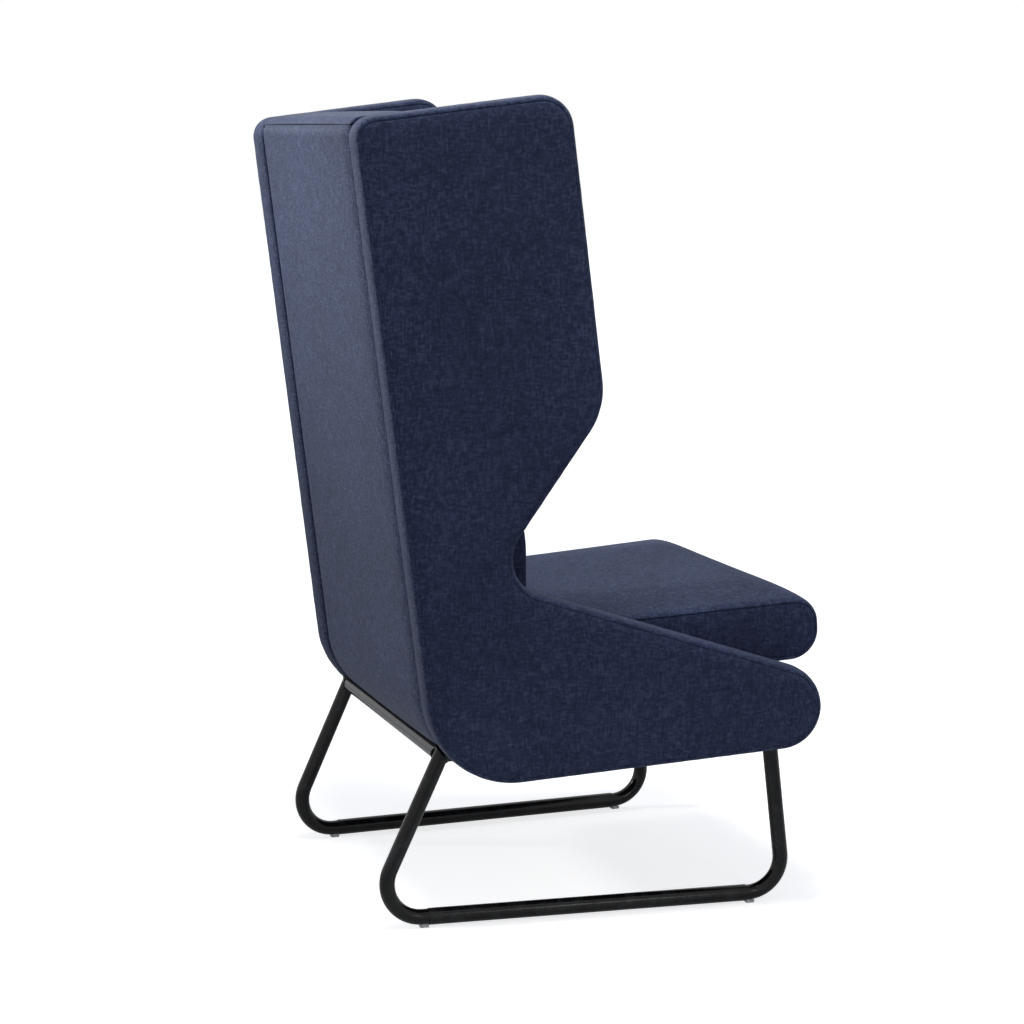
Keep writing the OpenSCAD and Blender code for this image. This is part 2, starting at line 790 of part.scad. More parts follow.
seat_back_y = leaned(lumbar_depth, lumbar_rise).x;
seat_rear_low = tilted(0, board_top) + sole_along
    * (tilted(0, board_top).x - seat_back_y + fit) / cos(seat_tilt);
seat_nose_run = apron_front + nose_overhang;
seat_nose_r = 0.48 * seat_t;
seat_rear_r = 12 * unit;
seat_rear_high = [seat_rear_low.x, seat_rear_low.y + seat_t / cos(seat_tilt)];
seat_rows = [
    [seat_rear_low, seat_rear_r, 2],
    [seat_rear_high, seat_rear_r, 2],
    [tilted(seat_nose_run, board_top + seat_t), nose_top_radius, 7],
    [tilted(seat_nose_run, board_top), seat_nose_r, 7]
];
seat_draw = 2 * unit;

// How far the cushion's height counts at a point, from 0 at the board to 1 at the top
function seat_lift(p) = ((p.y - frame_z) * cos(seat_tilt) - (frame_y - p.x) * sin(seat_tilt)
    - board_top) / seat_t;

// How far a point lies along the seat, from 0 at the back to 1 at the nose
function seat_share(p) = (seat_back_y - p.x) / (seat_back_y - tilted(seat_nose_run, 0).x);

// How far a point lies in the rounded nose, from 0 behind it to 1 at its front
function nose_share(p) = min(1, max(0, 1 - (seat_nose_run
    - (frame_y - p.x) * cos(seat_tilt) - (p.y - frame_z) * sin(seat_tilt)) / seat_nose_r));

function seat_station(share, gap, drawn) =
    let (swell = seat_crown * (1 - pow(share, 4)))
    [for (p = outline(seat_rows, edge_soft * drawn))
        let (draw = seat_draw * sin(180 * min(1, max(0, seat_share(p)))))
        [share * (half_between(p.x, panel_t + seat_side_gap) - edge_soft * gap - draw),
         p.x - swell * nose_share(p) / 8,
         p.y + swell * max(0, seat_lift(p))]];

module seat_cushion() {
    color("darkslateblue") skin([for (row = cushion_stations)
        seat_station(row[0], row[1], row[2])]);
}

// Back
back_top = panel_length - top_band_t;
bottom_rail_top = 0.96 * heel_radius;
rear_up = [sin(recline), cos(recline)];
heel_centre = arc_centre(heel_corner, -sole_along, rear_up, heel_radius);

module back_board() {
    color("burlywood") spanning(panel_t + side_gap)
        leaned_box(stile_front, board_front, bottom_rail_top, back_top);
}

module back_rear_panel() {
    color("peru") spanning(panel_t + side_gap)
        leaned_box(pad_inner, stile_rear, bottom_rail_top, back_top);
}

module back_stile(side) {
    difference() {
        beside(side, panel_t, panel_t + stile_w)
            leaned_box(stile_rear, stile_front, bottom_rail_top, back_top);
        on_side(side) side_holes(bolt_hole_r);
    }
}

module left_back_stile() { color("wheat") back_stile(1); }
module right_back_stile() { color("wheat") back_stile(-1); }

module back_top_rail() {
    color("wheat") spanning(panel_t + stile_w)
        leaned_box(stile_rear, stile_front, back_top - top_rail_h, back_top);
}

module back_bottom_rail() {
    color("wheat") difference() {
        spanning(panel_t + side_gap) intersection() {
            polygon(outline(panel_rows, pad_inner));
            leaned_box(0, board_front, 0, bottom_rail_top);
            tilted_box(-heel_radius, seat_rear_run, 0, heel_radius);
        }
        top_rail_envelopes(tube_r + fit);
    }
}

// Rear padding: a line down the back and round the heel, ending just above the rear tube
pad_soft = 6 * unit;
pad_arc_steps = 9;
pad_reach = heel_radius - rear_recess;
tube_span = norm(rear_top - heel_centre);
tube_clear = tube_r + 5 * fit;
tube_angle = atan2(rear_top.y - heel_centre.y, rear_top.x - heel_centre.x);
clear_angle = acos(min(1, (pow(tube_span, 2) + pow(pad_reach, 2) - pow(tube_clear, 2))
    / (2 * tube_span * pad_reach)));
pad_end = tube_angle + clear_angle;

function rear_line(inset) = concat([leaned(inset, back_top)],
    [for (i = [0:pad_arc_steps])
        heel_centre + (heel_radius - inset) * [
            cos(-recline + (pad_end + recline) * i / pad_arc_steps),
            sin(-recline + (pad_end + recline) * i / pad_arc_steps)]]);

function across(points, share, depth) =
    [for (p = points) [share * half_between(p.x, depth), p.x, p.y]];

module back_rear_pad() {
    color("midnightblue") skin([for (row = cushion_stations)
        across(concat(reversed(rear_line(rear_recess + pad_soft * row[2]
                - pad_crown * (1 - pow(row[0], 2)))), rear_line(pad_inner)),
            row[0], panel_t + side_gap + pad_soft * row[1] * abs(row[0]))]);
}

module back_top_band() {
    corner = 0.6 * top_band_t;
    rows = [
        [leaned(rear_recess, back_top), 0.22 * top_band_t, 1],
        [leaned(rear_recess, panel_length), corner, 3],
        [leaned(back_top_depth, panel_length), corner, 3],
        [leaned(back_top_depth, back_top), 0.22 * top_band_t, 1]
    ];
    color("navy") skin([for (row = cushion_stations)
        across(outline(rows, 0.2 * top_band_t * row[2]),
            row[0], panel_t + side_gap + pad_soft * row[1] * abs(row[0]))]);
}

// Back cushion outline: its rear rows meet the board and the lumbar block
function board_line(y) = crossing(tilted(0, board_top), sole_along, [y, 0], [0, 1]);
block_line = leaned(board_front, back_top - block_drop);
cushion_back_y = seat_back_y + cushion_t;
swell_back = [cushion_back_y, leaned(lumbar_depth - cushion_t, lumbar_rise).y];
cushion_corner = 1.1 * edge_soft;
cushion_rows = [
    [board_line(cushion_back_y) + [0, fit], cushion_corner, 2],
    [swell_back, 1.5 * heel_radius, 4],
    [block_line, 1.5 * heel_radius, 3],
    [leaned(board_front, back_top), cushion_corner, 2],
    [leaned(back_top_depth, back_top), cushion_corner, 2],
    [leaned(lumbar_depth, lumbar_rise), 1.5 * heel_radius, 6],
    [board_line(seat_back_y) + [0, fit], cushion_corner, 2]
];

// The block's upper end is cut blunt, before it thins out
block_tip_share = 0.92;
block_tip = swell_back + block_tip_share * (block_line - swell_back);
block_tip_rise = (block_tip - heel_corner) * rear_up;
block_foot = crossing(leaned(board_front, 0), rear_up, board_line(0) + [0, fit], sole_along);

module lumbar_block() {
    color("khaki") spanning(panel_t + side_gap) polygon(concat(
        arcs(cushion_rows, 0, 1, 1), [
            block_tip,
            leaned(board_front, block_tip_rise),
            block_foot,
            board_line(cushion_back_y) + [0, fit]
        ]));
}

function cushion_station(share, gap, drawn) =
    let (
        swell = back_crown * (1 - pow(share, 2)),
        rear = arcs(cushion_rows, edge_soft * drawn, 0, 3),
        front = [for (p = arcs(cushion_rows, edge_soft * drawn, 4, 6)) p - [swell, 0]]
    )
    across(concat(rear, front), share, panel_t + side_gap + edge_soft * gap * abs(share));

module back_cushion() {
    hub = [leaned(lumbar_depth - cushion_t / 2, lumbar_rise)];
    color("darkslateblue") skin([for (row = cushion_stations)
        cushion_station(row[0], row[1], row[2])],
        [for (side = [-1, 1]) across(hub, side, panel_t + side_gap)[0]]);
}

left_floor_tube();
right_floor_tube();
left_rear_leg();
right_rear_leg();
left_front_leg();
right_front_leg();
left_top_rail();
right_top_rail();
rear_cross_tube();
front_cross_tube();
left_rail_sleeve();
right_rail_sleeve();
floor_glides();
base_tabs();
base_bolts();
base_washers();
base_tee_nuts();
left_seat_rail();
right_seat_rail();
front_seat_rail();
rear_seat_rail();
seat_board();
seat_cushion();
front_apron();
bottom_cloth();
left_side_board();
left_outer_pad();
left_inner_pad();
left_inner_roll();
left_edge_band();
left_spacers();
right_side_board();
right_outer_pad();
right_inner_pad();
right_inner_roll();
right_edge_band();
right_spacers();
side_bolts();
side_washers();
side_tee_nuts();
back_board();
left_back_stile();
right_back_stile();
back_top_rail();
back_bottom_rail();
back_rear_panel();
back_rear_pad();
back_top_band();
lumbar_block();
back_cushion();
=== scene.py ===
"""Dresses the high back lounge chair: upholstery, sled base, timbers, studio and camera."""

import logging
import math
from dataclasses import dataclass, field
from enum import Enum
from typing import Any, Callable, Optional, Sequence

import bmesh
import bpy
import numpy as np
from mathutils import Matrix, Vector, noise
from mathutils.geometry import delaunay_2d_cdt


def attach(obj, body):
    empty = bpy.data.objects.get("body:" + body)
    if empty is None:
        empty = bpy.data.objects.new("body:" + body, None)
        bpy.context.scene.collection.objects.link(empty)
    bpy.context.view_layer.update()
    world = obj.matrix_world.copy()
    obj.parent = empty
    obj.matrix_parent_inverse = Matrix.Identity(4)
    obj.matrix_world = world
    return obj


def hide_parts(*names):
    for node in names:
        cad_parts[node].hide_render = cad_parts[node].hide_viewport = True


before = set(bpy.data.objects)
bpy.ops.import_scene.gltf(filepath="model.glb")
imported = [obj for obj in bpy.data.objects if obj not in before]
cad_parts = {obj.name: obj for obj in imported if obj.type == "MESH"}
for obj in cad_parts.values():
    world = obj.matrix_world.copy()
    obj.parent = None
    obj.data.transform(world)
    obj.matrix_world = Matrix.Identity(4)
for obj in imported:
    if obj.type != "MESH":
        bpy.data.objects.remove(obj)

LOG = logging.getLogger("lounge_chair")
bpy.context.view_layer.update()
Colour = tuple[float, float, float, float]
Profile = Sequence[tuple[float, float]]
Array = np.ndarray
Piece = bpy.types.Object


class Side(Enum):
    """The sitter's left or right, as a sign along X."""

    LEFT = 1
    RIGHT = -1


class Slot(Enum):
    """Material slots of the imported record."""

    POWDER = "powder_coat"
    ZINC = "zinc_steel"
    NYLON = "glide_plastic"
    PLYWOOD = "plywood"
    TIMBER = "timber"
    HARDBOARD = "hardboard"
    SHELL = "shell_fabric"
    SEAT = "seat_fabric"
    FOAM = "foam"
    LINING = "bottom_cloth"


# ---------------------------------------------------------------- plan of the chair


@dataclass(frozen=True)
class Plan:
    """Sizes in metres and angles in degrees, as in the part's source; two corners a bit fuller."""

    body_w: float = 0.665
    flare: float = 3.4
    recline: float = 7.0
    seat_tilt: float = 3.7
    heel_y: float = 0.235
    heel_z: float = 0.204
    panel_length: float = 0.928
    wing_depth: float = 0.304
    wing_rise: float = 0.494
    waist_rise: float = 0.283
    waist_depth: float = 0.114
    arm_slope: float = 17.9
    heel_radius: float = 0.130
    crown_rear_radius: float = 0.030
    crown_front_radius: float = 0.046
    wing_radius: float = 0.105
    waist_radius: float = 0.052
    nose_radius: float = 0.0612
    core_t: float = 0.018
    outer_pad_t: float = 0.018
    inner_pad_t: float = 0.017
    band_depth: float = 0.009
    frame_y: float = 0.2115
    frame_z: float = 0.246
    frame_depth: float = 0.4816
    rail_h: float = 0.049
    cross_rail_w: float = 0.030
    seat_board_t: float = 0.015
    seat_t: float = 0.090
    seat_side_gap: float = 0.004
    nose_overhang: float = 0.0595
    nose_top_radius: float = 0.030
    apron_t: float = 0.009
    back_top_depth: float = 0.088
    lumbar_depth: float = 0.187
    lumbar_rise: float = 0.330
    cushion_t: float = 0.060
    block_rise: float = 0.800
    rear_pad_t: float = 0.015
    rear_recess: float = 0.004
    top_band_t: float = 0.010
    board_front: float = 0.058
    tube_d: float = 0.022
    rear_leg_lean: float = 24.7
    front_leg_lean: float = 6.4
    side_gap: float = 0.001

    @property
    def panel_t(self) -> float:
        """Thickness of a whole side panel."""
        return self.outer_pad_t + self.core_t + self.inner_pad_t

    @property
    def board_top(self) -> float:
        """Height of the seat board's top above the rear cross tube's axis."""
        return self.tube_d / 2 + self.rail_h + self.seat_board_t

    @property
    def seat_front_run(self) -> float:
        """Distance of the front rail's front face from the rear cross tube."""
        return self.frame_depth + self.cross_rail_w / 2

    @property
    def back_top(self) -> float:
        """Rise of the back's upper end, under the top band."""
        return self.panel_length - self.top_band_t

    @property
    def tube_depth(self) -> float:
        """Depth of the base's side tubes inside the panels' outer faces."""
        return self.panel_t + HAIR_GAP + self.tube_d / 2

    def leaned(self, depth: float, rise: float) -> Array:
        """A point (y, z) at a depth forward of the rear edge and a rise along it."""
        lean = math.radians(self.recline)
        return np.array([
            self.heel_y - depth * math.cos(lean) + rise * math.sin(lean),
            self.heel_z + depth * math.sin(lean) + rise * math.cos(lean),
        ])

    def tilted(self, run: float, lift: float) -> Array:
        """A point (y, z) at a run forward of the rear cross tube and a lift above its axis."""
        tilt = math.radians(self.seat_tilt)
        return np.array([
            self.frame_y - run * math.cos(tilt) + lift * math.sin(tilt),
            self.frame_z + run * math.sin(tilt) + lift * math.cos(tilt),
        ])

    def half_between(self, y: Array, depth: float) -> Array:
        """Half of the width between the panels at y, at a depth inside their outer faces."""
        turn = math.radians(self.flare)
        return self.body_w / 2 - (depth + y * math.sin(turn)) / math.cos(turn)

    def side_width(self, y: Array) -> Array:
        """Half width at y of what fits closely between the panels."""
        return self.half_between(y, self.panel_t + self.side_gap)

    def along(self, y: float, depth: float) -> float:
        """Distance along a side panel of the place y, at a depth inside its outer face."""
        turn = math.radians(self.flare)
        return (y + depth * math.sin(turn)) / math.cos(turn)

    def on_panel(self, side: Side, x: Array, yz: Array) -> Array:
        """Points of a side panel's own frame in the chair's frame.

        Args:
            side: Which panel.
            x: Distance outwards from the panel's outer face, one value a point.
            yz: Distance along the panel and height, one row a point.

        Returns:
            One row of x, y and z a point.
        """
        turn = math.radians(self.flare)
        out = np.empty((len(yz), 3))
        out[:, 0] = side.value * (self.body_w / 2 + x * math.cos(turn) - yz[:, 0] * math.sin(turn))
        out[:, 1] = x * math.sin(turn) + yz[:, 0] * math.cos(turn)
        out[:, 2] = yz[:, 1]
        return out


PLAN = Plan()
# Directions (y, z): up the reclined back, out of its rear face, and forward along the seat.
LEAN, TILT, TURN = map(math.radians, (PLAN.recline, PLAN.seat_tilt, PLAN.flare))
UP_BACK = np.array([math.sin(LEAN), math.cos(LEAN)])
BEHIND = np.array([math.cos(LEAN), -math.sin(LEAN)])
FORWARD = np.array([-math.cos(TILT), math.sin(TILT)])
HEEL = np.array([PLAN.heel_y, PLAN.heel_z])
# The gap in metres that keeps close solids apart, and the widest step round a corner.
HAIR_GAP = 0.0003
ARC_STEP = math.radians(7)


def crossing(p: Array, a: Array, q: Array, b: Array) -> Array:
    """Where the line from p along a meets the line from q along b."""
    gap = q - p
    return p + a * (gap[0] * b[1] - gap[1] * b[0]) / (a[0] * b[1] - a[1] * b[0])


def unit(v: Array) -> Array:
    """The vector at length one."""
    return v / np.linalg.norm(v)


@dataclass
class Outline:
    """A closed anticlockwise outline of points (y, z) with outward normals."""

    points: Array
    normals: Array

    @classmethod
    def rounded(cls, corners: Sequence[tuple[Array, float]], spacing: float) -> "Outline":
        """An outline from corners, each rounded to a radius.

        Args:
            corners: Corner points and radii, anticlockwise.
            spacing: Distance between points on the straight stretches.

        Returns:
            The outline, with the same points for every inset.
        """
        count = len(corners)
        arcs = []
        for i, (corner, radius) in enumerate(corners):
            a = unit(corner - corners[i - 1][0])
            b = unit(corners[(i + 1) % count][0] - corner)
            bend = math.copysign(1.0, a[0] * b[1] - a[1] * b[0])
            turn = math.acos(max(-1.0, min(1.0, float(a @ b))))
            centre = corner + unit(b - a) * radius / math.cos(turn / 2)
            start = math.atan2(-bend * a[0], bend * a[1])
            steps = max(3, math.ceil(turn / ARC_STEP), math.ceil(radius * turn / spacing))
            angles = start + bend * turn * np.linspace(0, 1, steps + 1)
            ways = np.stack([np.cos(angles), np.sin(angles)], 1)
            arcs.append((centre + radius * ways, bend * ways))
        points, normals = [], []
        for i, (arc, ways) in enumerate(arcs):
            gap = arcs[(i + 1) % count][0][0] - arc[-1]
            steps = max(1, math.ceil(np.linalg.norm(gap) / spacing))
            points += [arc, arc[-1] + gap * (np.arange(1, steps)[:, None] / steps)]
            normals += [ways, np.repeat(ways[-1:], steps - 1, 0)]
        return cls(np.concatenate(points), np.concatenate(normals))

    @classmethod
    def through(cls, points: Array) -> "Outline":
        """An outline through given points, with normals from its neighbours."""
        run = np.roll(points, -1, 0) - np.roll(points, 1, 0)
        normals = np.stack([run[:, 1], -run[:, 0]], 1)
        return cls(points, normals / np.linalg.norm(normals, axis=1, keepdims=True))

    def inset(self, depth: float) -> Array:
        """The outline's points drawn in by a depth."""
        return self.points - self.normals * depth


# ---------------------------------------------------------------- mesh making


def soft_noise(points: Array, waves: float, seed: float) -> Array:
    """Smooth fixed noise from about -1 to 1 at points, by waves in a metre and a seed."""
    return np.array([noise.noise(Vector(p) * waves + Vector((seed, seed, seed))) for p in points])


def nearness(points: Array, edge: Array) -> Array:
    """Distance from each flat point to the nearest of an edge's points."""
    return np.array([math.sqrt(((edge - p) ** 2).sum(1).min()) for p in points])


def still(flat: Array, share: Array) -> Array:
    """No swell, for points (y, z) at shares of the half width."""
    return np.zeros_like(flat)


def ramped(values: Array, start: float, span: float) -> Array:
    """Values as a share, 0 up to the start and 1 from a span beyond it."""
    return np.clip((values - start) / span, 0, 1)


def linked(name: str, data: Any) -> Piece:
    """A new object with the data, linked to the scene."""
    piece = bpy.data.objects.new(name, data)
    bpy.context.scene.collection.objects.link(piece)
    return piece


class SkinMesh:
    """Collects rings and fillings into one mesh.

    A filling's rows lie ROW_PITCH grids apart and stay RING_CLEARANCE grids off its ring.
    """

    ROW_PITCH = 0.866
    RING_CLEARANCE = 0.55
    MERGE_DISTANCE = 1e-7

    def __init__(self) -> None:
        """Starts empty."""
        self.points: list[Array] = []
        self.faces: list[tuple[int, ...]] = []

    def ring(self, points: Array) -> list[int]:
        """Adds points and gives their indices."""
        first = len(self.points)
        self.points.extend(points)
        return list(range(first, first + len(points)))

    def loft(self, places: Sequence[Array], closed: bool = False) -> list[list[int]]:
        """Adds equal rings and joins each to the next by quads.

        Args:
            places: Points of each ring.
            closed: Whether the last ring joins the first.

        Returns:
            Indices of each ring's points.
        """
        rings = [self.ring(place) for place in places]
        for near, far in zip(rings, rings[1:] + (rings[:1] if closed else [])):
            count = len(near)
            self.faces.extend((near[i], near[(i + 1) % count], far[(i + 1) % count], far[i])
                              for i in range(count))
        return rings

    def fill(
        self,
        ring: list[int],
        flat: Array,
        grid: float,
        lifted: Callable[[Array, Array], Array],
    ) -> None:
        """Fills a ring with evenly spread points.

        Args:
            ring: Indices of the ring's points.
            flat: The ring's points in the plane.
            grid: Distance between the points inside.
            lifted: Gives the points in space from the flat ones and their distance to the ring.
        """
        low, high = flat.min(0), flat.max(0)
        rows = np.arange(low[1] + grid / 2, high[1], grid * self.ROW_PITCH)
        inside = np.array([(y, z) for k, z in enumerate(rows)
                           for y in np.arange(low[0] + k % 2 * grid / 2, high[0], grid)])
        inside = inside[self._within(inside, flat)]
        inside = inside[nearness(inside, flat) > grid * self.RING_CLEARANCE]
        coords = [Vector(p) for p in np.concatenate([flat, inside])]
        count = len(flat)
        edges = [(i, (i + 1) % count) for i in range(count)]
        made = delaunay_2d_cdt(coords, edges, [], 1, self.MERGE_DISTANCE)
        spots, faces, origin = made[0], made[2], made[3]
        loose = [i for i, come in enumerate(origin) if not any(c < count for c in come)]
        index = {i: ring[min(come)] for i, come in enumerate(origin) if i not in set(loose)}
        if loose:
            plane = np.array([spots[i][:] for i in loose])
            index.update(zip(loose, self.ring(lifted(plane, nearness(plane, flat)))))
        self.faces.extend(tuple(index[i] for i in face) for face in faces)

    @staticmethod
    def _within(points: Array, outline: Array) -> Array:
        """Which flat points lie inside a closed outline, one truth value each."""
        inside = np.zeros(len(points), bool)
        for a, b in zip(outline, np.roll(outline, -1, 0)):
            if a[1] == b[1]:
                continue
            spans = (points[:, 1] > min(a[1], b[1])) & (points[:, 1] <= max(a[1], b[1]))
            at = a[0] + (points[:, 1] - a[1]) * (b[0] - a[0]) / (b[1] - a[1])
            inside ^= spans & (points[:, 0] < at)
        return inside

    def build(self, name: str) -> Piece:
        """Makes the object, smooth and with its faces turned outwards."""
        mesh = bpy.data.meshes.new(name)
        mesh.from_pydata([tuple(map(float, p)) for p in self.points], [], self.faces)
        work = bmesh.new()
        work.from_mesh(mesh)
        bmesh.ops.recalc_face_normals(work, faces=work.faces)
        work.to_mesh(mesh)
        work.free()
        mesh.polygons.foreach_set("use_smooth", [True] * len(mesh.polygons))
        return linked(name, mesh)


def vertex_array(mesh: bpy.types.Mesh) -> Array:
    """A mesh's vertices, one row of coordinates each."""
    values = np.zeros(len(mesh.vertices) * 3, np.float32)
    mesh.vertices.foreach_get("co", values)
    return values.reshape(-1, 3).astype(float)


@dataclass(frozen=True)
class Filling:
    """Foam that presses a sewn cover outwards, found by a cloth simulation."""

    pressure: float = 4.0
    stiffness: float = 18.0
    frames: int = 20
    cap: float = 0.006
    held_below: float = 0.02

    def press(self, piece: Piece, give: Array) -> None:
        """Runs the cloth, keeps part of its movement and smooths the cover.

        Args:
            piece: The cover, whose mesh is changed.
            give: Share of the movement that each vertex keeps; vertices with none are held.
        """
        self._simulate(piece, give)
        surface = piece.modifiers.new("smooth", "SUBSURF")
        surface.levels = surface.render_levels = 1
        surface.boundary_smooth = "PRESERVE_CORNERS"

    def _simulate(self, piece: Piece, give: Array) -> None:
        """Moves the cover's vertices by the cloth's result, for a piece and its give."""
        scene = bpy.context.scene
        rest = vertex_array(piece.data)
        held = piece.vertex_groups.new(name="held")
        held.add([int(i) for i in np.flatnonzero(give < self.held_below)], 1.0, "REPLACE")
        cloth = piece.modifiers.new("filling", "CLOTH")
        made = cloth.settings
        made.quality = 6
        made.mass = 0.3
        made.tension_stiffness = made.compression_stiffness = self.stiffness
        made.shear_stiffness = self.stiffness / 2
        made.bending_stiffness = 2.0
        made.tension_damping = made.compression_damping = 15
        made.air_damping = 4
        made.use_pressure = True
        made.uniform_pressure_force = self.pressure
        made.effector_weights.gravity = 0
        made.vertex_group_mass = held.name
        cloth.point_cache.frame_start = 1
        cloth.point_cache.frame_end = self.frames
        for step in range(1, self.frames + 1):
            scene.frame_set(step)
        shown = piece.evaluated_get(bpy.context.evaluated_depsgraph_get())
        moved = np.nan_to_num(vertex_array(shown.to_mesh()) - rest)
        shown.to_mesh_clear()
        piece.modifiers.remove(cloth)
        piece.vertex_groups.remove(held)
        scene.frame_set(1)
        size = np.linalg.norm(moved, axis=1, keepdims=True)
        moved *= np.minimum(1.0, self.cap / np.maximum(size, 1e-9)) * give[:, None]
        piece.data.vertices.foreach_set("co", (rest + moved).astype(np.float32).ravel())
        piece.data.update()
        LOG.info("%s: filled, moved up to %.1f mm", piece.name, 1000 * np.abs(moved).max())


@dataclass
class Wrap:
    """A padded form across the chair: a wrap from side to side and two side faces."""

    name: str
    outline: Outline
    width: Callable[[Array], Array]
    edge: Profile
    columns: int
    grid: float
    swell: Callable[[Array, Array], Array] = still
    bulge: float = 0.0
    bulge_reach: float = 0.014

    def _station(self, offset: float, inset: float, share: Optional[float]) -> Array:
        """The outline's points at one place across the chair.

        Args:
            offset: Distance in from the side, used where share is None.
            inset: How far the outline is drawn in.
            share: Share of the half width, from -1 to 1.

        Returns:
            One row of x, y and z a point, for a positive x where share is None.
        """
        flat = self.outline.inset(inset)
        half = self.width(flat[:, 0])
        x = half - offset if share is None else share * (half - self.edge[0][0])
        return np.column_stack([x, flat + self.swell(flat, x / half)])

    def build(self) -> Piece:
        """Makes the closed piece from side to side."""
        mesh = SkinMesh()
        inner = [self._station(0, 0, float(s)) for s in np.linspace(-1, 1, self.columns)]
        outer = [self._station(gap, inset, None) for gap, inset in self.edge[1:]]
        mirror = np.array([-1.0, 1.0, 1.0])
        rings = mesh.loft([p * mirror for p in reversed(outer)] + inner + outer)
        for ring, way in ((rings[0], -1.0), (rings[-1], 1.0)):

            def lifted(plane: Array, far: Array, way: float = way) -> Array:
                """Side face points, bulging with the distance from the seam."""
                rise = self.bulge * (1 - np.exp(-far / self.bulge_reach))
                x = way * (self.width(plane[:, 0]) - self.edge[-1][0] + rise)
                return np.column_stack([x, plane])

            flat = np.array([mesh.points[i][1:] for i in ring])
            mesh.fill(ring, flat, self.grid, lifted)
        return mesh.build(self.name)


# ---------------------------------------------------------------- finishes


def colour(red: float, green: float, blue: float) -> Colour:
    """A linear colour with full alpha."""
    return (red, green, blue, 1.0)


WHITE, BLACK = colour(1.0, 1.0, 1.0), colour(0.0, 0.0, 0.0)


class Shader:
    """Short ways to fill a node tree."""

    def __init__(self, tree: bpy.types.NodeTree) -> None:
        """Keeps the tree."""
        self.tree = tree

    @classmethod
    def fresh(cls, holder: Any) -> "Shader":
        """A helper on the emptied node tree of a material or world."""
        holder.use_nodes = True
        holder.node_tree.nodes.clear()
        return cls(holder.node_tree)

    def node(self, kind: str, settings: Optional[dict[str, Any]] = None, **values: Any) -> Any:
        """Adds a node.

        Args:
            kind: The node's type.
            settings: Attributes of the node.
            **values: Input values or sockets, with underscores for spaces.

        Returns:
            The node.
        """
        made = self.tree.nodes.new(kind)
        for key, value in (settings or {}).items():
            setattr(made, key, value)
        for key, value in values.items():
            self.put(made.inputs[key.replace("_", " ")], value)
        return made

    def put(self, socket: Any, value: Any) -> None:
        """Sets a socket, or links it where the value is a socket."""
        if isinstance(value, bpy.types.NodeSocket):
            self.tree.links.new(value, socket)
        else:
            socket.default_value = value

    def effect(self, group: bpy.types.NodeTree, **values: Any) -> Any:
        """The outputs of an effect group that has its own values."""
        return self.node("ShaderNodeGroup", {"node_tree": group}, **values).outputs

    def place(self) -> Any:
        """The place on the object, in its own coordinates."""
        return self.node("ShaderNodeTexCoord").outputs["Object"]

    def math(self, operation: str, a: Any, b: Any = 0.0) -> Any:
        """The result of a math node on two values or sockets."""
        made = self.node("ShaderNodeMath", {"operation": operation})
        self.put(made.inputs[0], a)
        self.put(made.inputs[1], b)
        return made.outputs[0]

    def weighted(self, *terms: tuple[Any, Any]) -> Any:
        """The sum of values, each times its weight."""
        parts = [self.math("MULTIPLY", value, weight) for value, weight in terms]
        total = parts[0]
        for part in parts[1:]:
            total = self.math("ADD", total, part)
        return total

    def vector(self, operation: str, a: Any, b: Any = None, scale: Any = None) -> Any:
        """The result of a vector operation.

        Args:
            operation: The node's operation.
            a: First vector or socket.
            b: Second vector or socket.
            scale: Scale, for the scale operation.

        Returns:
            The output socket, a plain value for a dot product or a length.
        """
        made = self.node("ShaderNodeVectorMath", {"operation": operation})
        for key, given in ((0, a), (1, b), ("Scale", scale)):
            if given is not None:
                self.put(made.inputs[key], given)
        return made.outputs["Value" if operation in ("DOT_PRODUCT", "LENGTH") else "Vector"]

    def noise(self, vector: Any, scale: Any, detail: float = 2.0, rough: float = 0.5,
              output: str = "Fac") -> Any:
        """The result of a noise texture on a vector."""
        return self.node("ShaderNodeTexNoise", None, Vector=vector, Scale=scale,
                         Detail=detail, Roughness=rough).outputs[output]

    def ramp(self, value: Any, low: Any, high: Any, to_low: Any = 0.0, to_high: Any = 1.0) -> Any:
        """A value mapped smoothly from low..high to to_low..to_high."""
        made = self.node("ShaderNodeMapRange", {"interpolation_type": "SMOOTHSTEP"})
        for name, given in (("Value", value), ("From Min", low), ("From Max", high),
                            ("To Min", to_low), ("To Max", to_high)):
            self.put(made.inputs[name], given)
        return made.outputs["Result"]

    def mix(self, share: Any, a: Any, b: Any, blend: str = "MIX") -> Any:
        """Two colours mixed, with a share of the second one."""
        made = self.node("ShaderNodeMix", {"data_type": "RGBA", "blend_type": blend})
        for socket, given in ((0, share), (6, a), (7, b)):
            self.put(made.inputs[socket], given)
        return made.outputs[2]

    def bump(self, height: Any, depth: float, strength: float) -> Any:
        """A normal from a height, whose value of one stands for the depth in metres."""
        return self.node("ShaderNodeBump", None, Strength=strength, Distance=depth,
                         Height=height).outputs[0]

    def drift(self, scale: float, low: float, high: float) -> Any:
        """A value that changes slowly from low to high over the object."""
        return self.effect(EFFECTS.drift, Scale=scale, Low=low, High=high)["Value"]


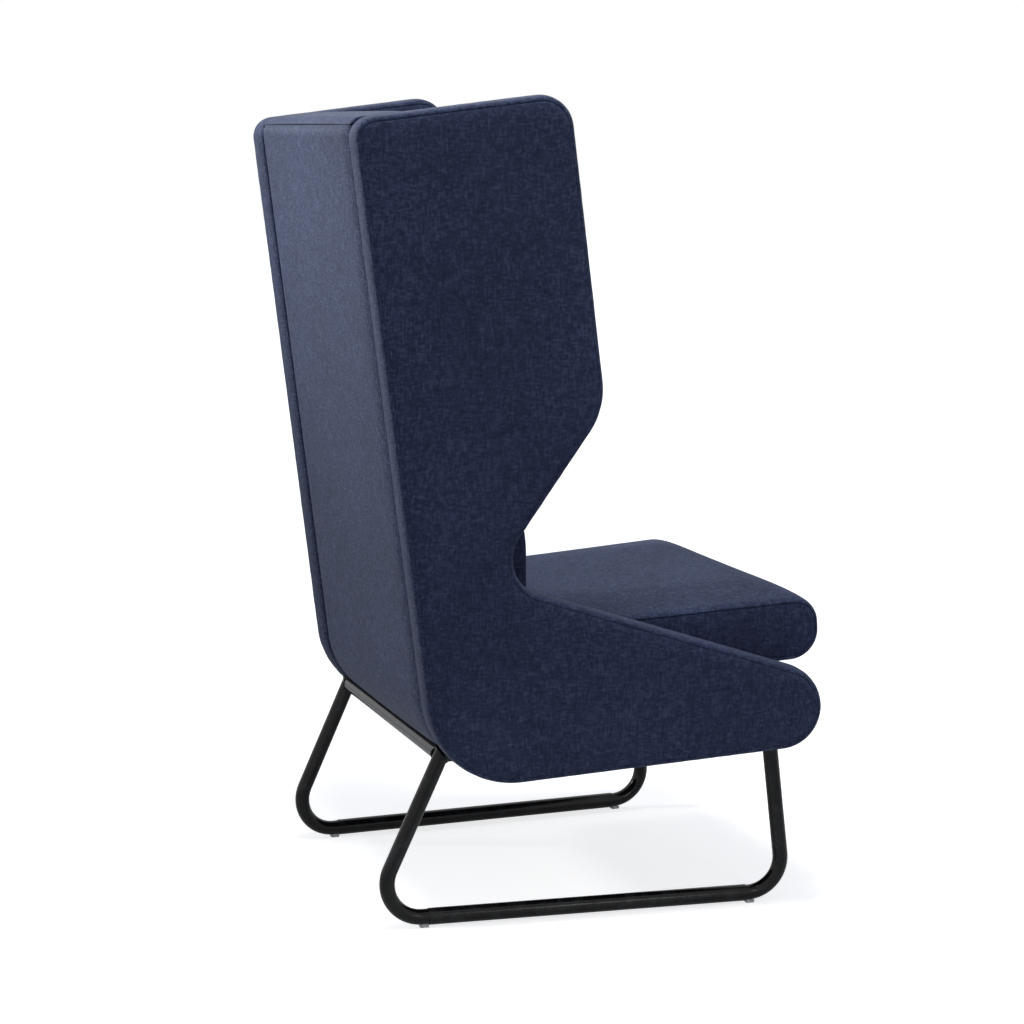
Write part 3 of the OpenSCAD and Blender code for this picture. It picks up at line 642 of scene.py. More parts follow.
class Group(Shader):
    """A shader node group in the making."""

    KINDS = {1: "NodeSocketFloat", 3: "NodeSocketVector", 4: "NodeSocketColor"}

    def __init__(self, name: str, **inputs: Any) -> None:
        """Starts the group.

        Args:
            name: The group's name.
            **inputs: Default numbers, vectors or colours, with underscores for spaces.
        """
        super().__init__(bpy.data.node_groups.new(name, "ShaderNodeTree"))
        for label, value in inputs.items():
            self._socket(label.replace("_", " "), "INPUT", np.size(value)).default_value = value
        self.given = self.tree.nodes.new("NodeGroupInput").outputs

    def _socket(self, label: str, way: str, size: int) -> Any:
        """A new socket of the group, for values of a size."""
        return self.tree.interface.new_socket(name=label, in_out=way, socket_type=self.KINDS[size])

    def finish(self, **outputs: Any) -> bpy.types.NodeTree:
        """Links the outputs, of which only Color is a colour, and gives the tree."""
        for label in outputs:
            self._socket(label, "OUTPUT", 4 if label == "Color" else 1)
        self.node("NodeGroupOutput", None, **outputs)
        return self.tree


class Effects:
    """Node groups that more than one finish uses, each built once."""

    THREAD_LENGTHS = ((0.22, 1.0, 1.0), (1.0, 0.22, 1.0), (1.0, 1.0, 0.22))

    def __init__(self) -> None:
        """Builds every group."""
        self.weave = self._weave()
        self.drift = self._drift()
        self.grain = self._grain()
        self.wear = self._wear()
        self.peel = self._peel()

    def _weave(self) -> bpy.types.NodeTree:
        """Woven cloth: crossing threads on whichever plane the surface faces."""
        sh = Group("woven_wool", Pitch=0.0017, Slub=0.45, Shade=BLACK, Body=BLACK, Fleck=BLACK,
                   Fleck_Share=0.4, Cloud=0.45)
        place = sh.place()
        sway = sh.vector("SUBTRACT", sh.noise(place, 310.0, output="Color"), (0.5, 0.5, 0.5))
        reach = sh.math("MULTIPLY", sh.given["Pitch"], sh.given["Slub"])
        moved = sh.vector("ADD", place, sh.vector("SCALE", sway, scale=reach))
        turns = sh.math("DIVIDE", math.pi, sh.given["Pitch"])
        waves = sh.vector("SINE", sh.vector("SCALE", moved, scale=turns))
        x, y, z = sh.node("ShaderNodeSeparateXYZ", None, Vector=waves).outputs
        joined = sh.node("ShaderNodeCombineXYZ", None, X=sh.math("MULTIPLY", y, z),
                         Y=sh.math("MULTIPLY", x, z), Z=sh.math("MULTIPLY", x, y)).outputs[0]
        facing = sh.node("ShaderNodeNewGeometry").outputs["Normal"]
        for _ in range(2):
            facing = sh.vector("MULTIPLY", facing, facing)
        total = sh.vector("DOT_PRODUCT", facing, (1.0, 1.0, 1.0))
        woven = sh.math("DIVIDE", sh.vector("DOT_PRODUCT", joined, facing), total)
        slubs = sh.weighted(*((sh.noise(sh.vector("MULTIPLY", moved, length), 380.0, 2.0, 0.55),
                               1.0) for length in self.THREAD_LENGTHS))
        slubs = sh.math("SUBTRACT", slubs, 1.5)
        fibre = sh.noise(place, 1300.0, 3.0, 0.7)
        cloud = sh.math("SUBTRACT", sh.noise(place, 70.0, 3.0, 0.65), 0.5)
        tone = sh.weighted((woven, 0.10), (slubs, 0.85), (cloud, sh.given["Cloud"]))
        base = sh.mix(sh.ramp(tone, -0.32, 0.32), sh.given["Shade"], sh.given["Body"])
        fleck = sh.ramp(sh.weighted((fibre, 0.5), (tone, 1.0)), 0.30, 0.62)
        fleck = sh.math("MULTIPLY", fleck, sh.given["Fleck Share"])
        return sh.finish(Color=sh.mix(fleck, base, sh.given["Fleck"]), Fuzz=fibre,
                         Height=sh.weighted((woven, 0.30), (slubs, 0.9), (fibre, 0.4)))

    @staticmethod
    def _drift() -> bpy.types.NodeTree:
        """Slow change over a surface, as from handling and uneven dye."""
        sh = Group("slow_drift", Scale=6.0, Low=0.0, High=1.0)
        value = sh.noise(sh.place(), sh.given["Scale"], 3.0, 0.55)
        return sh.finish(Value=sh.ramp(value, 0.3, 0.7, sh.given["Low"], sh.given["High"]))

    @staticmethod
    def _grain() -> bpy.types.NodeTree:
        """Wood grain along one direction, by a stretch for each axis."""
        sh = Group("wood_grain", Stretch=(60.0, 3.0, 60.0), Warp=0.3)
        long = sh.vector("MULTIPLY", sh.place(), sh.given["Stretch"])
        warp = sh.vector("SCALE", sh.noise(long, 0.35, output="Color"),
                         scale=sh.math("MULTIPLY", sh.given["Warp"], 9.0))
        bands = {"wave_type": "BANDS", "bands_direction": "DIAGONAL"}
        rings = sh.node("ShaderNodeTexWave", bands, Vector=sh.vector("ADD", long, warp),
                        Scale=0.55, Distortion=2.2, Detail=2.0)
        fibre = sh.noise(long, 7.0, 4.0, 0.6)
        return sh.finish(Value=sh.weighted((rings.outputs["Fac"], 0.65), (fibre, 0.35)),
                         Fibre=fibre)

    @staticmethod
    def _wear() -> bpy.types.NodeTree:
        """Rubbed edges, where a surface bends outwards."""
        sh = Group("rubbed_edges", Start=0.52, Full=0.6, Scale=60.0)
        bend = sh.node("ShaderNodeNewGeometry").outputs["Pointiness"]
        edge = sh.ramp(bend, sh.given["Start"], sh.given["Full"])
        patch = sh.ramp(sh.noise(sh.place(), sh.given["Scale"], 4.0, 0.6), 0.45, 0.62)
        return sh.finish(Mask=sh.math("MULTIPLY", edge, patch))

    @staticmethod
    def _peel() -> bpy.types.NodeTree:
        """Fine uneven skin of sprayed or moulded surfaces."""
        sh = Group("fine_peel", Scale=700.0, Grit=0.3)
        place = sh.place()
        wide = sh.noise(place, sh.given["Scale"])
        fine = sh.noise(place, sh.math("MULTIPLY", sh.given["Scale"], 4.0))
        return sh.finish(Height=sh.weighted((wide, 1.0), (fine, sh.given["Grit"])))


EFFECTS = Effects()


@dataclass(frozen=True)
class Finish:
    """Base of every finish: makes one material with a Principled surface."""

    name: str
    slot: Slot

    def material(self) -> bpy.types.Material:
        """The finish's material, made at its first use."""
        made = bpy.data.materials.get(self.name)
        if made is None:
            made = bpy.data.materials.new(self.name)
            sh = Shader.fresh(made)
            surface = sh.node("ShaderNodeBsdfPrincipled", None, **self.dress(sh))
            sh.node("ShaderNodeOutputMaterial", None, Surface=surface.outputs[0])
        return made

    def dress(self, sh: Shader) -> dict[str, Any]:
        """Values and sockets of the surface by name; each finish has its own."""
        raise NotImplementedError


@dataclass(frozen=True)
class Woven(Finish):
    """Woven or matted fibres; as it stands, the chair's felted navy wool."""

    shade: Colour = colour(0.0158, 0.0217, 0.0540)
    body: Colour = colour(0.0415, 0.0550, 0.1180)
    fleck: Colour = colour(0.1150, 0.1370, 0.1980)
    fleck_share: float = 0.30
    pitch: float = 0.0017
    slub: float = 0.45
    drift: tuple[float, float, float] = (5.0, 0.90, 1.10)
    rough: tuple[float, float] = (0.86, 0.98)
    relief: tuple[float, float] = (0.0005, 0.5)
    nap: tuple[tuple[str, Any], ...] = ()

    def dress(self, sh: Shader) -> dict[str, Any]:
        """Weave, flecks, a slow change of tone and what the nap adds."""
        weave = sh.effect(EFFECTS.weave, Pitch=self.pitch, Slub=self.slub, Shade=self.shade,
                          Body=self.body, Fleck=self.fleck, Fleck_Share=self.fleck_share)
        return {
            "Base_Color": sh.vector("SCALE", weave["Color"], scale=sh.drift(*self.drift)),
            "Roughness": sh.ramp(weave["Fuzz"], 0.3, 0.7, *self.rough),
            "Normal": sh.bump(weave["Height"], *self.relief), **dict(self.nap)}


@dataclass(frozen=True)
class Coated(Finish):
    """A sprayed, plated or moulded skin, rubbed a little where it bends.

    The wear is its start, full bend and scale; the drift is its scale and the lowest and highest
    roughness; the peel is its scale and grit.
    """

    clean: Colour
    rubbed: Colour
    wear: tuple[float, float, float]
    drift: tuple[float, float, float]
    peel: tuple[float, float]
    depth: float
    others: tuple[tuple[str, float], ...] = ()

    def dress(self, sh: Shader) -> dict[str, Any]:
        """Colour by wear, roughness by drift and a fine peel."""
        start, full, scale = self.wear
        wear = sh.effect(EFFECTS.wear, Start=start, Full=full, Scale=scale)["Mask"]
        peel = sh.effect(EFFECTS.peel, Scale=self.peel[0], Grit=self.peel[1])["Height"]
        return {
            "Base_Color": sh.mix(wear, self.clean, self.rubbed),
            "Roughness": sh.drift(*self.drift),
            "Normal": sh.bump(peel, self.depth, 0.5), **dict(self.others)}


@dataclass(frozen=True)
class Timber(Finish):
    """Planed softwood with its grain along one way."""

    stretch: tuple[float, float, float]
    light: Colour = colour(0.60, 0.43, 0.25)
    dark: Colour = colour(0.38, 0.23, 0.115)

    def dress(self, sh: Shader) -> dict[str, Any]:
        """Grain bands, fibres and a slow change of tone."""
        grain = sh.effect(EFFECTS.grain, Stretch=self.stretch, Warp=0.3)
        tint = sh.mix(sh.ramp(grain["Value"], 0.2, 0.85), self.light, self.dark)
        return {
            "Base_Color": sh.vector("SCALE", tint, scale=sh.drift(9.0, 0.86, 1.08)),
            "Roughness": sh.ramp(grain["Fibre"], 0.3, 0.7, 0.55, 0.75),
            "Normal": sh.bump(grain["Fibre"], 0.0003, 0.5)}


@dataclass(frozen=True)
class Plywood(Finish):
    """Birch plywood: plies across the sheet, rotary grain on its faces."""

    across: tuple[float, float, float]
    stretch: tuple[float, float, float]
    ply: float = 0.0015

    def dress(self, sh: Shader) -> dict[str, Any]:
        """Plies in turn light and dark, with grain over them."""
        depth = sh.vector("DOT_PRODUCT", sh.place(), self.across)
        ply = sh.ramp(sh.math("PINGPONG", sh.math("DIVIDE", depth, self.ply), 1.0), 0.4, 0.6)
        grain = sh.effect(EFFECTS.grain, Stretch=self.stretch, Warp=0.5)
        pale = sh.mix(grain["Value"], colour(0.66, 0.50, 0.31), colour(0.50, 0.34, 0.18))
        deep = sh.mix(grain["Fibre"], colour(0.42, 0.27, 0.14), colour(0.30, 0.18, 0.09))
        return {
            "Base_Color": sh.mix(ply, pale, deep),
            "Roughness": sh.ramp(grain["Fibre"], 0.3, 0.7, 0.5, 0.7),
            "Normal": sh.bump(grain["Fibre"], 0.0003, 0.5)}


@dataclass(frozen=True)
class BareFoam(Finish):
    """Open-celled cushion foam."""

    def dress(self, sh: Shader) -> dict[str, Any]:
        """Pale cells, yellowed in patches."""
        cells = sh.node("ShaderNodeTexVoronoi", None, Vector=sh.place(), Scale=420.0)
        pits = sh.ramp(cells.outputs["Distance"], 0.1, 0.6)
        tint = sh.mix(sh.drift(9.0, 0.0, 1.0), colour(0.66, 0.62, 0.44), colour(0.60, 0.52, 0.32))
        return {
            "Base_Color": sh.mix(pits, tint, colour(0.38, 0.33, 0.2), "MULTIPLY"),
            "Roughness": sh.ramp(pits, 0.0, 1.0, 0.85, 0.98),
            "Normal": sh.bump(pits, 0.0006, 0.7)}


NAP = (("Specular_IOR_Level", 0.15), ("Sheen_Weight", 0.10), ("Sheen_Roughness", 0.5),
       ("Sheen_Tint", colour(0.95, 1.0, 1.0)))
SHELL_CLOTH = Woven("shell_wool", Slot.SHELL, nap=NAP)
SEAT_CLOTH = Woven("seat_wool", Slot.SEAT, drift=(5.0, 0.87, 1.13), nap=NAP)
LINING = Woven(
    "black_lining", Slot.LINING, colour(0.006, 0.006, 0.007), colour(0.015, 0.015, 0.016),
    colour(0.04, 0.04, 0.042), pitch=0.0011, slub=0.2, drift=(5.0, 1.0, 1.0), rough=(0.7, 0.9),
    relief=(0.0002, 0.7))
HARDBOARD = Woven(
    "brown_hardboard", Slot.HARDBOARD, colour(0.14, 0.075, 0.036), colour(0.24, 0.14, 0.07),
    colour(0.36, 0.24, 0.14), fleck_share=0.5, pitch=0.004, slub=0.9, drift=(12.0, 0.9, 1.08),
    rough=(0.5, 0.68), relief=(0.0002, 0.4))
POWDER = Coated(
    "black_powder_coat", Slot.POWDER, colour(0.0052, 0.0056, 0.0062), colour(0.018, 0.019, 0.020),
    wear=(0.53, 0.62, 45.0), drift=(30.0, 0.15, 0.20), peel=(650.0, 0.25), depth=0.00012,
    others=(("Specular_IOR_Level", 0.22),))
ZINC = Coated(
    "zinc_plate", Slot.ZINC, colour(0.52, 0.53, 0.55), colour(0.70, 0.70, 0.71),
    wear=(0.52, 0.6, 120.0), drift=(160.0, 0.24, 0.46), peel=(900.0, 0.5), depth=0.00008,
    others=(("Metallic", 1.0),))
NYLON = Coated(
    "pale_nylon", Slot.NYLON, colour(0.78, 0.79, 0.79), colour(0.55, 0.55, 0.54),
    wear=(0.5, 0.6, 240.0), drift=(140.0, 0.38, 0.55), peel=(1100.0, 0.3), depth=0.0001)
FOAM = BareFoam("bare_foam", Slot.FOAM)
TIMBER_LONG = Timber("timber_fore_and_aft", Slot.TIMBER, (55.0, 4.0, 55.0))
TIMBER_WIDE = Timber("timber_across", Slot.TIMBER, (4.0, 55.0, 55.0))
TIMBER_TALL = Timber("timber_upright", Slot.TIMBER, (55.0, 55.0, 4.0))
PLY_SEAT = Plywood("plywood_seat", Slot.PLYWOOD, (0.0, -math.sin(TILT), math.cos(TILT)),
                   (25.0, 5.0, 60.0))
PLY_BACK = Plywood("plywood_back", Slot.PLYWOOD, (0.0, math.cos(LEAN), -math.sin(LEAN)),
                   (25.0, 60.0, 4.0))
PLY_SIDES = {side: Plywood(f"plywood_{side.name.lower()}", Slot.PLYWOOD,
                           (math.cos(TURN), side.value * math.sin(TURN), 0.0), (60.0, 25.0, 4.0))
             for side in Side}


def wear_finish(piece: Piece, finish: Finish) -> None:
    """Gives an object one finish in place of its materials."""
    piece.data.materials.clear()
    piece.data.materials.append(finish.material())


def dress_nodes(finish: Finish, *names: str) -> None:
    """Gives CAD nodes one finish."""
    for name in names:
        wear_finish(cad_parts[name], finish)


def seat_in_frame(piece: Piece, finish: Finish, *nodes: str) -> Piece:
    """Dresses a piece and hangs it in the frame.

    Args:
        piece: The new piece.
        finish: Its finish.
        *nodes: CAD nodes that it stands for.

    Returns:
        The piece.
    """
    wear_finish(piece, finish)
    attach(piece, "root")
    if nodes:
        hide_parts(*nodes)
    LOG.info("%s: %d vertices", piece.name, len(piece.data.vertices))
    return piece


def upholstered(piece: Piece, finish: Finish, *nodes: str, fill: float) -> Piece:
    """Dresses a padded piece that stands for CAD nodes."""
    return seat_in_frame(piece, finish, *nodes)


# ---------------------------------------------------------------- side panels


@dataclass
class SidePanel:
    """One upholstered side panel: two padded faces and the band that wraps its edge.

    PAD_RIM and BAND_SEAM give depth under the face and inset from the outline. The band's roll
    follows powers of sine and cosine, so that it is fuller than a round one.
    """

    side: Side
    plan: Plan = PLAN
    spacing: float = 0.0055
    grid: float = 0.016
    crown: float = 0.0008
    crown_reach: float = 0.05
    uneven: float = 0.0006
    uneven_waves: float = 7.0
    pucker: float = 0.0003
    pucker_waves: float = 70.0
    outline: Outline = field(init=False)

    PAD_RIM = (
        (0.0028, 0.0090), (0.0022, 0.00905), (0.0018, 0.0094), (0.0013, 0.0104),
        (0.0009, 0.0120), (0.0004, 0.0150), (0.0, 0.0210),
    )
    BAND_SEAM = ((0.0028, 0.0090), (0.0022, 0.00895))
    ROLL_SINK, ROLL_DEPTH, ROLL_STEPS = 0.0018, 0.0087, 12
    ROLL_SQUARE, ROLL_ROUND = 0.80, 0.66
    PUCKER_SEED, UNEVEN_SEED = 3.0, 11.0

    def __post_init__(self) -> None:
        """Draws the panel's outline."""
        p = self.plan
        slope = math.radians(p.arm_slope)
        waist = p.leaned(p.waist_depth, p.waist_rise)
        nose = crossing(waist, -np.array([math.cos(slope), math.sin(slope)]), HEEL, FORWARD)
        self.outline = Outline.rounded([
            (HEEL, p.heel_radius), (p.leaned(0, p.panel_length), p.crown_rear_radius),
            (p.leaned(p.wing_depth, p.panel_length), p.crown_front_radius),
            (p.leaned(p.wing_depth, p.wing_rise), p.wing_radius), (waist, p.waist_radius),
            (nose, p.nose_radius)], self.spacing)

    @property
    def label(self) -> str:
        """The side's name in node names."""
        return self.side.name.lower()

    def _ring(self, x: float, inset: float, stray: float = 0.0) -> Array:
        """A ring of the panel in the chair's frame.

        Args:
            x: Distance outwards from the outer face.
            inset: How far it is drawn in from the outline.
            stray: How far the sewing lets the ring wander in and out.

        Returns:
            One row of x, y and z a point.
        """
        flat = self.outline.inset(inset)
        across = np.full(len(flat), x)
        if stray:
            wander = soft_noise(np.column_stack([flat, across]), self.pucker_waves,
                                self.PUCKER_SEED + self.side.value)
            flat = flat - self.outline.normals * (wander * stray)[:, None]
        return self.plan.on_panel(self.side, across, flat)

    def face_pad(self, outer: bool) -> Piece:
        """One padded face, outer or inner, from the sewn seam to its middle."""
        p = self.plan
        way = -1.0 if outer else 1.0
        face = 0.0 if outer else -p.panel_t
        core = -p.outer_pad_t if outer else -p.outer_pad_t - p.core_t
        mesh = SkinMesh()
        rings = mesh.loft([self._ring(core, p.band_depth)] + [
            self._ring(face + way * sink, inset, self.pucker) for sink, inset in self.PAD_RIM])
        mesh.faces.append(tuple(rings[0]))

        def lifted(flat: Array, far: Array) -> Array:
            """Points of the face, crowned and a little uneven as foam is."""
            place = np.column_stack([flat, np.full(len(flat), face)])
            seed = self.UNEVEN_SEED * self.side.value
            uneven = soft_noise(place, self.uneven_waves, seed) * self.uneven
            rise = (self.crown + uneven) * (1 - np.exp(-far / self.crown_reach))
            return p.on_panel(self.side, face - way * rise, flat)

        mesh.fill(rings[-1], self.outline.inset(self.PAD_RIM[-1][1]), self.grid, lifted)
        face_name = f"{self.label}_{'outer' if outer else 'inner'}"
        nodes = [f"{face_name}_pad"] + ([] if outer else [f"{face_name}_roll"])
        return upholstered(mesh.build(f"{face_name}_cover"), SHELL_CLOTH, *nodes, fill=0.95)

    def edge_band(self) -> Piece:
        """The padded band round the edge, with rounded corners and a sunk seam each side."""
        thick = self.plan.panel_t
        mid, half = thick / 2, list(self.BAND_SEAM)
        for angle in np.linspace(0.0, math.pi / 2, self.ROLL_STEPS + 1)[:-1]:
            sink = mid - (mid - self.ROLL_SINK) * math.cos(angle) ** self.ROLL_SQUARE
            half.append((sink, self.ROLL_DEPTH * (1 - math.sin(angle) ** self.ROLL_ROUND)))
        full = [(-sink, inset) for sink, inset in half] + [(-mid, 0.0)]
        full += [(-thick + sink, inset) for sink, inset in reversed(half)]
        mesh = SkinMesh()
        mesh.loft([self._ring(x, inset, self.pucker) for x, inset in full], closed=True)
        piece = mesh.build(f"{self.label}_edge_cover")
        return upholstered(piece, SHELL_CLOTH, f"{self.label}_edge_band", fill=0.9)

    def build(self) -> None:
        """Makes and dresses the whole panel."""
        self.face_pad(True)
        self.face_pad(False)
        self.edge_band()
        dress_nodes(PLY_SIDES[self.side], f"{self.label}_side_board")
        dress_nodes(TIMBER_WIDE, f"{self.label}_spacers")


# ---------------------------------------------------------------- seat and back


@dataclass
class Seat:
    """Seat cushion, front apron, bottom cloth and the seat's timbers.

    An EDGE profile runs from the face to the seam, as distance from the side and inset. A GIVE
    pair says where the cushion starts to give to its filling and over what span.
    """

    plan: Plan = PLAN
    crown: float = 0.0085
    draw: float = 0.002
    nose_radius: float = 0.0432
    rear_radius: float = 0.012
    sag: float = 0.0025
    sag_reach: float = 0.08
    notch: float = 0.0148
    half_tab: float = 0.0170
    tab_shares: tuple[float, float] = (0.28, 0.72)
    cloth_start: float = 0.0305
    cloth_margin: float = 0.004
    cloth_step: float = 0.012
    cloth_grid: float = 0.02

    CUSHION_EDGE = (
        (0.0110, 0.0), (0.0078, 0.0004), (0.0050, 0.0012), (0.0028, 0.0025), (0.0014, 0.0040),
        (0.0010, 0.0050), (0.0020, 0.0060), (0.0030, 0.0063), (0.0021, 0.0069), (0.0012, 0.0082),
        (0.0009, 0.0105))
    CROWN_POWER, NOSE_SHARE, TOP_ROUNDER, LIFT_CAP = 6, 8, 1.2, 1.2
    GIVE_SIDE, GIVE_LIFT, GIVE_REAR = (0.012, 0.03), (0.35, 0.3), (0.0, 0.03)
    REAR_HELD = 0.02
    APRON_EDGE = ((0.0050, 0.0), (0.0030, 0.0003), (0.0014, 0.0009), (0.0004, 0.0018))
    APRON_REAR_RADIUS, APRON_FRONT_RADIUS = 0.001, 0.004

    def _run_and_share(self, flat: Array) -> tuple[Array, Array]:
        """Where points (y, z) lie on the seat.

        Args:
            flat: One row of y and z a point.

        Returns:
            Distance forward of the rear cross tube, and height over the board as a share of
            the cushion's thickness.
        """
        back, up = self.plan.frame_y - flat[:, 0], flat[:, 1] - self.plan.frame_z
        lift = up * math.cos(TILT) - back * math.sin(TILT)
        return (back * math.cos(TILT) + up * math.sin(TILT),
                np.clip((lift - self.plan.board_top) / self.plan.seat_t, 0, self.LIFT_CAP))

    def cushion(self) -> Piece:
        """The seat cushion: one wrap over its nose and a sewn panel at each side."""
        p = self.plan
        back_y = p.leaned(p.lumbar_depth, p.lumbar_rise)[0]
        front = p.seat_front_run + p.apron_t + p.nose_overhang
        rear = p.tilted(0, p.board_top)
        low = rear + FORWARD * (rear[0] - back_y + HAIR_GAP) / math.cos(TILT)
        high = low + np.array([0, p.seat_t / math.cos(TILT)])
        outline = Outline.rounded([
            (low, self.rear_radius), (high, self.rear_radius),
            (p.tilted(front, p.board_top + p.seat_t), self.TOP_ROUNDER * p.nose_top_radius),
            (p.tilted(front, p.board_top), self.nose_radius)], spacing=0.0095)

        def width(y: Array) -> Array:
            """Half width, drawn in between the front and the rear corners."""
            share = np.clip((back_y - y) / (back_y - p.tilted(front, 0)[0]), 0, 1)
            return (p.half_between(y, p.panel_t + p.seat_side_gap)
                    - self.draw * np.sin(math.pi * share))

        def swell(flat: Array, share: Array) -> Array:
            """Crown of the top, strongest in the middle, and a fuller nose."""
            rise = self.crown * (1 - np.abs(share) ** self.CROWN_POWER)
            run, lift = self._run_and_share(flat)
            near = np.clip(1 - (front - run) / self.nose_radius, 0, 1)
            return np.stack([-rise * near / self.NOSE_SHARE, rise * lift], 1)

        piece = Wrap("seat_cushion_cover", outline, width, self.CUSHION_EDGE, columns=56,
                     grid=0.011, swell=swell, bulge=0.0014).build()
        flat = vertex_array(piece.data)
        lift = self._run_and_share(flat[:, 1:])[1]
        from_side = width(flat[:, 1]) - np.abs(flat[:, 0])
        give = ramped(from_side, *self.GIVE_SIDE) * ramped(lift, *self.GIVE_LIFT)
        give *= ramped(back_y - self.REAR_HELD - flat[:, 1], *self.GIVE_REAR)
        Filling().press(piece, give)
        return upholstered(piece, SEAT_CLOTH, "seat_cushion", fill=0.85)

    def apron(self) -> Piece:
        """The thin padded strip over the front rail."""
        p = self.plan
        low, high = p.tube_d / 2, p.board_top
        back, front = p.seat_front_run, p.seat_front_run + p.apron_t
        corners = [(p.tilted(back, lift), self.APRON_REAR_RADIUS) for lift in (low, high)]
        corners += [(p.tilted(front, lift), self.APRON_FRONT_RADIUS) for lift in (high, low)]
        piece = Wrap("front_apron_cover", Outline.rounded(corners, spacing=0.008), p.side_width,
                     self.APRON_EDGE, columns=40, grid=0.006).build()
        return upholstered(piece, SEAT_CLOTH, "front_apron", fill=0.9)

    def _cloth_edge(self) -> Array:
        """The cloth's flat edge as points (x, run), with a notch at each tab of the base."""
        p = self.plan
        places = [self.cloth_start, p.seat_front_run - p.cross_rail_w + self.cloth_margin]
        for share in self.tab_shares:
            middle = p.frame_depth * share
            places += [middle - self.half_tab, middle + self.half_tab]
        corners = []
        for k, run in enumerate(sorted(places)):
            y = p.tilted(run, 0)[0]
            x = float(p.half_between(np.array(y), p.tube_depth + p.tube_d / 2 + self.cloth_margin))
            pair = [(x, run), (x - self.notch, run)]
            if k in (0, len(places) - 1):
                corners.append(pair[0])
            else:
                corners += pair if k % 2 else pair[::-1]
        corners += [(-x, run) for x, run in reversed(corners)]
        flat = []
        for a, b in zip(np.array(corners), np.roll(corners, -1, 0)):
            steps = max(1, math.ceil(np.linalg.norm(b - a) / self.cloth_step))
            flat += [a + (b - a) * k / steps for k in range(steps)]
        return np.array(flat)

    def bottom_cloth(self) -> Piece:
        """The lining stretched under the seat, cut out round the base's tabs."""
        p = self.plan
        flat = self._cloth_edge()

        def lifted(plane: Array, far: Array) -> Array:
            """Points of the cloth, sagging a little away from its edges."""
            sag = self.sag * (1 - np.exp(-far / self.sag_reach))
            ends = [p.tilted(run, p.tube_d / 2 - 2 * HAIR_GAP - s)
                    for run, s in zip(plane[:, 1], sag)]
            return np.column_stack([plane[:, 0], np.array(ends)])

        mesh = SkinMesh()
        ring = mesh.ring(lifted(flat, np.zeros(len(flat))))
        mesh.fill(ring, flat, self.cloth_grid, lifted)
        piece = seat_in_frame(mesh.build("bottom_lining"), LINING, "bottom_cloth")
        return piece

    def build(self) -> None:
        """Makes and dresses the whole seat."""
        self.cushion()
        self.apron()
        self.bottom_cloth()
        dress_nodes(TIMBER_LONG, "left_seat_rail", "right_seat_rail")
        dress_nodes(TIMBER_WIDE, "front_seat_rail", "rear_seat_rail")
        dress_nodes(PLY_SEAT, "seat_board")


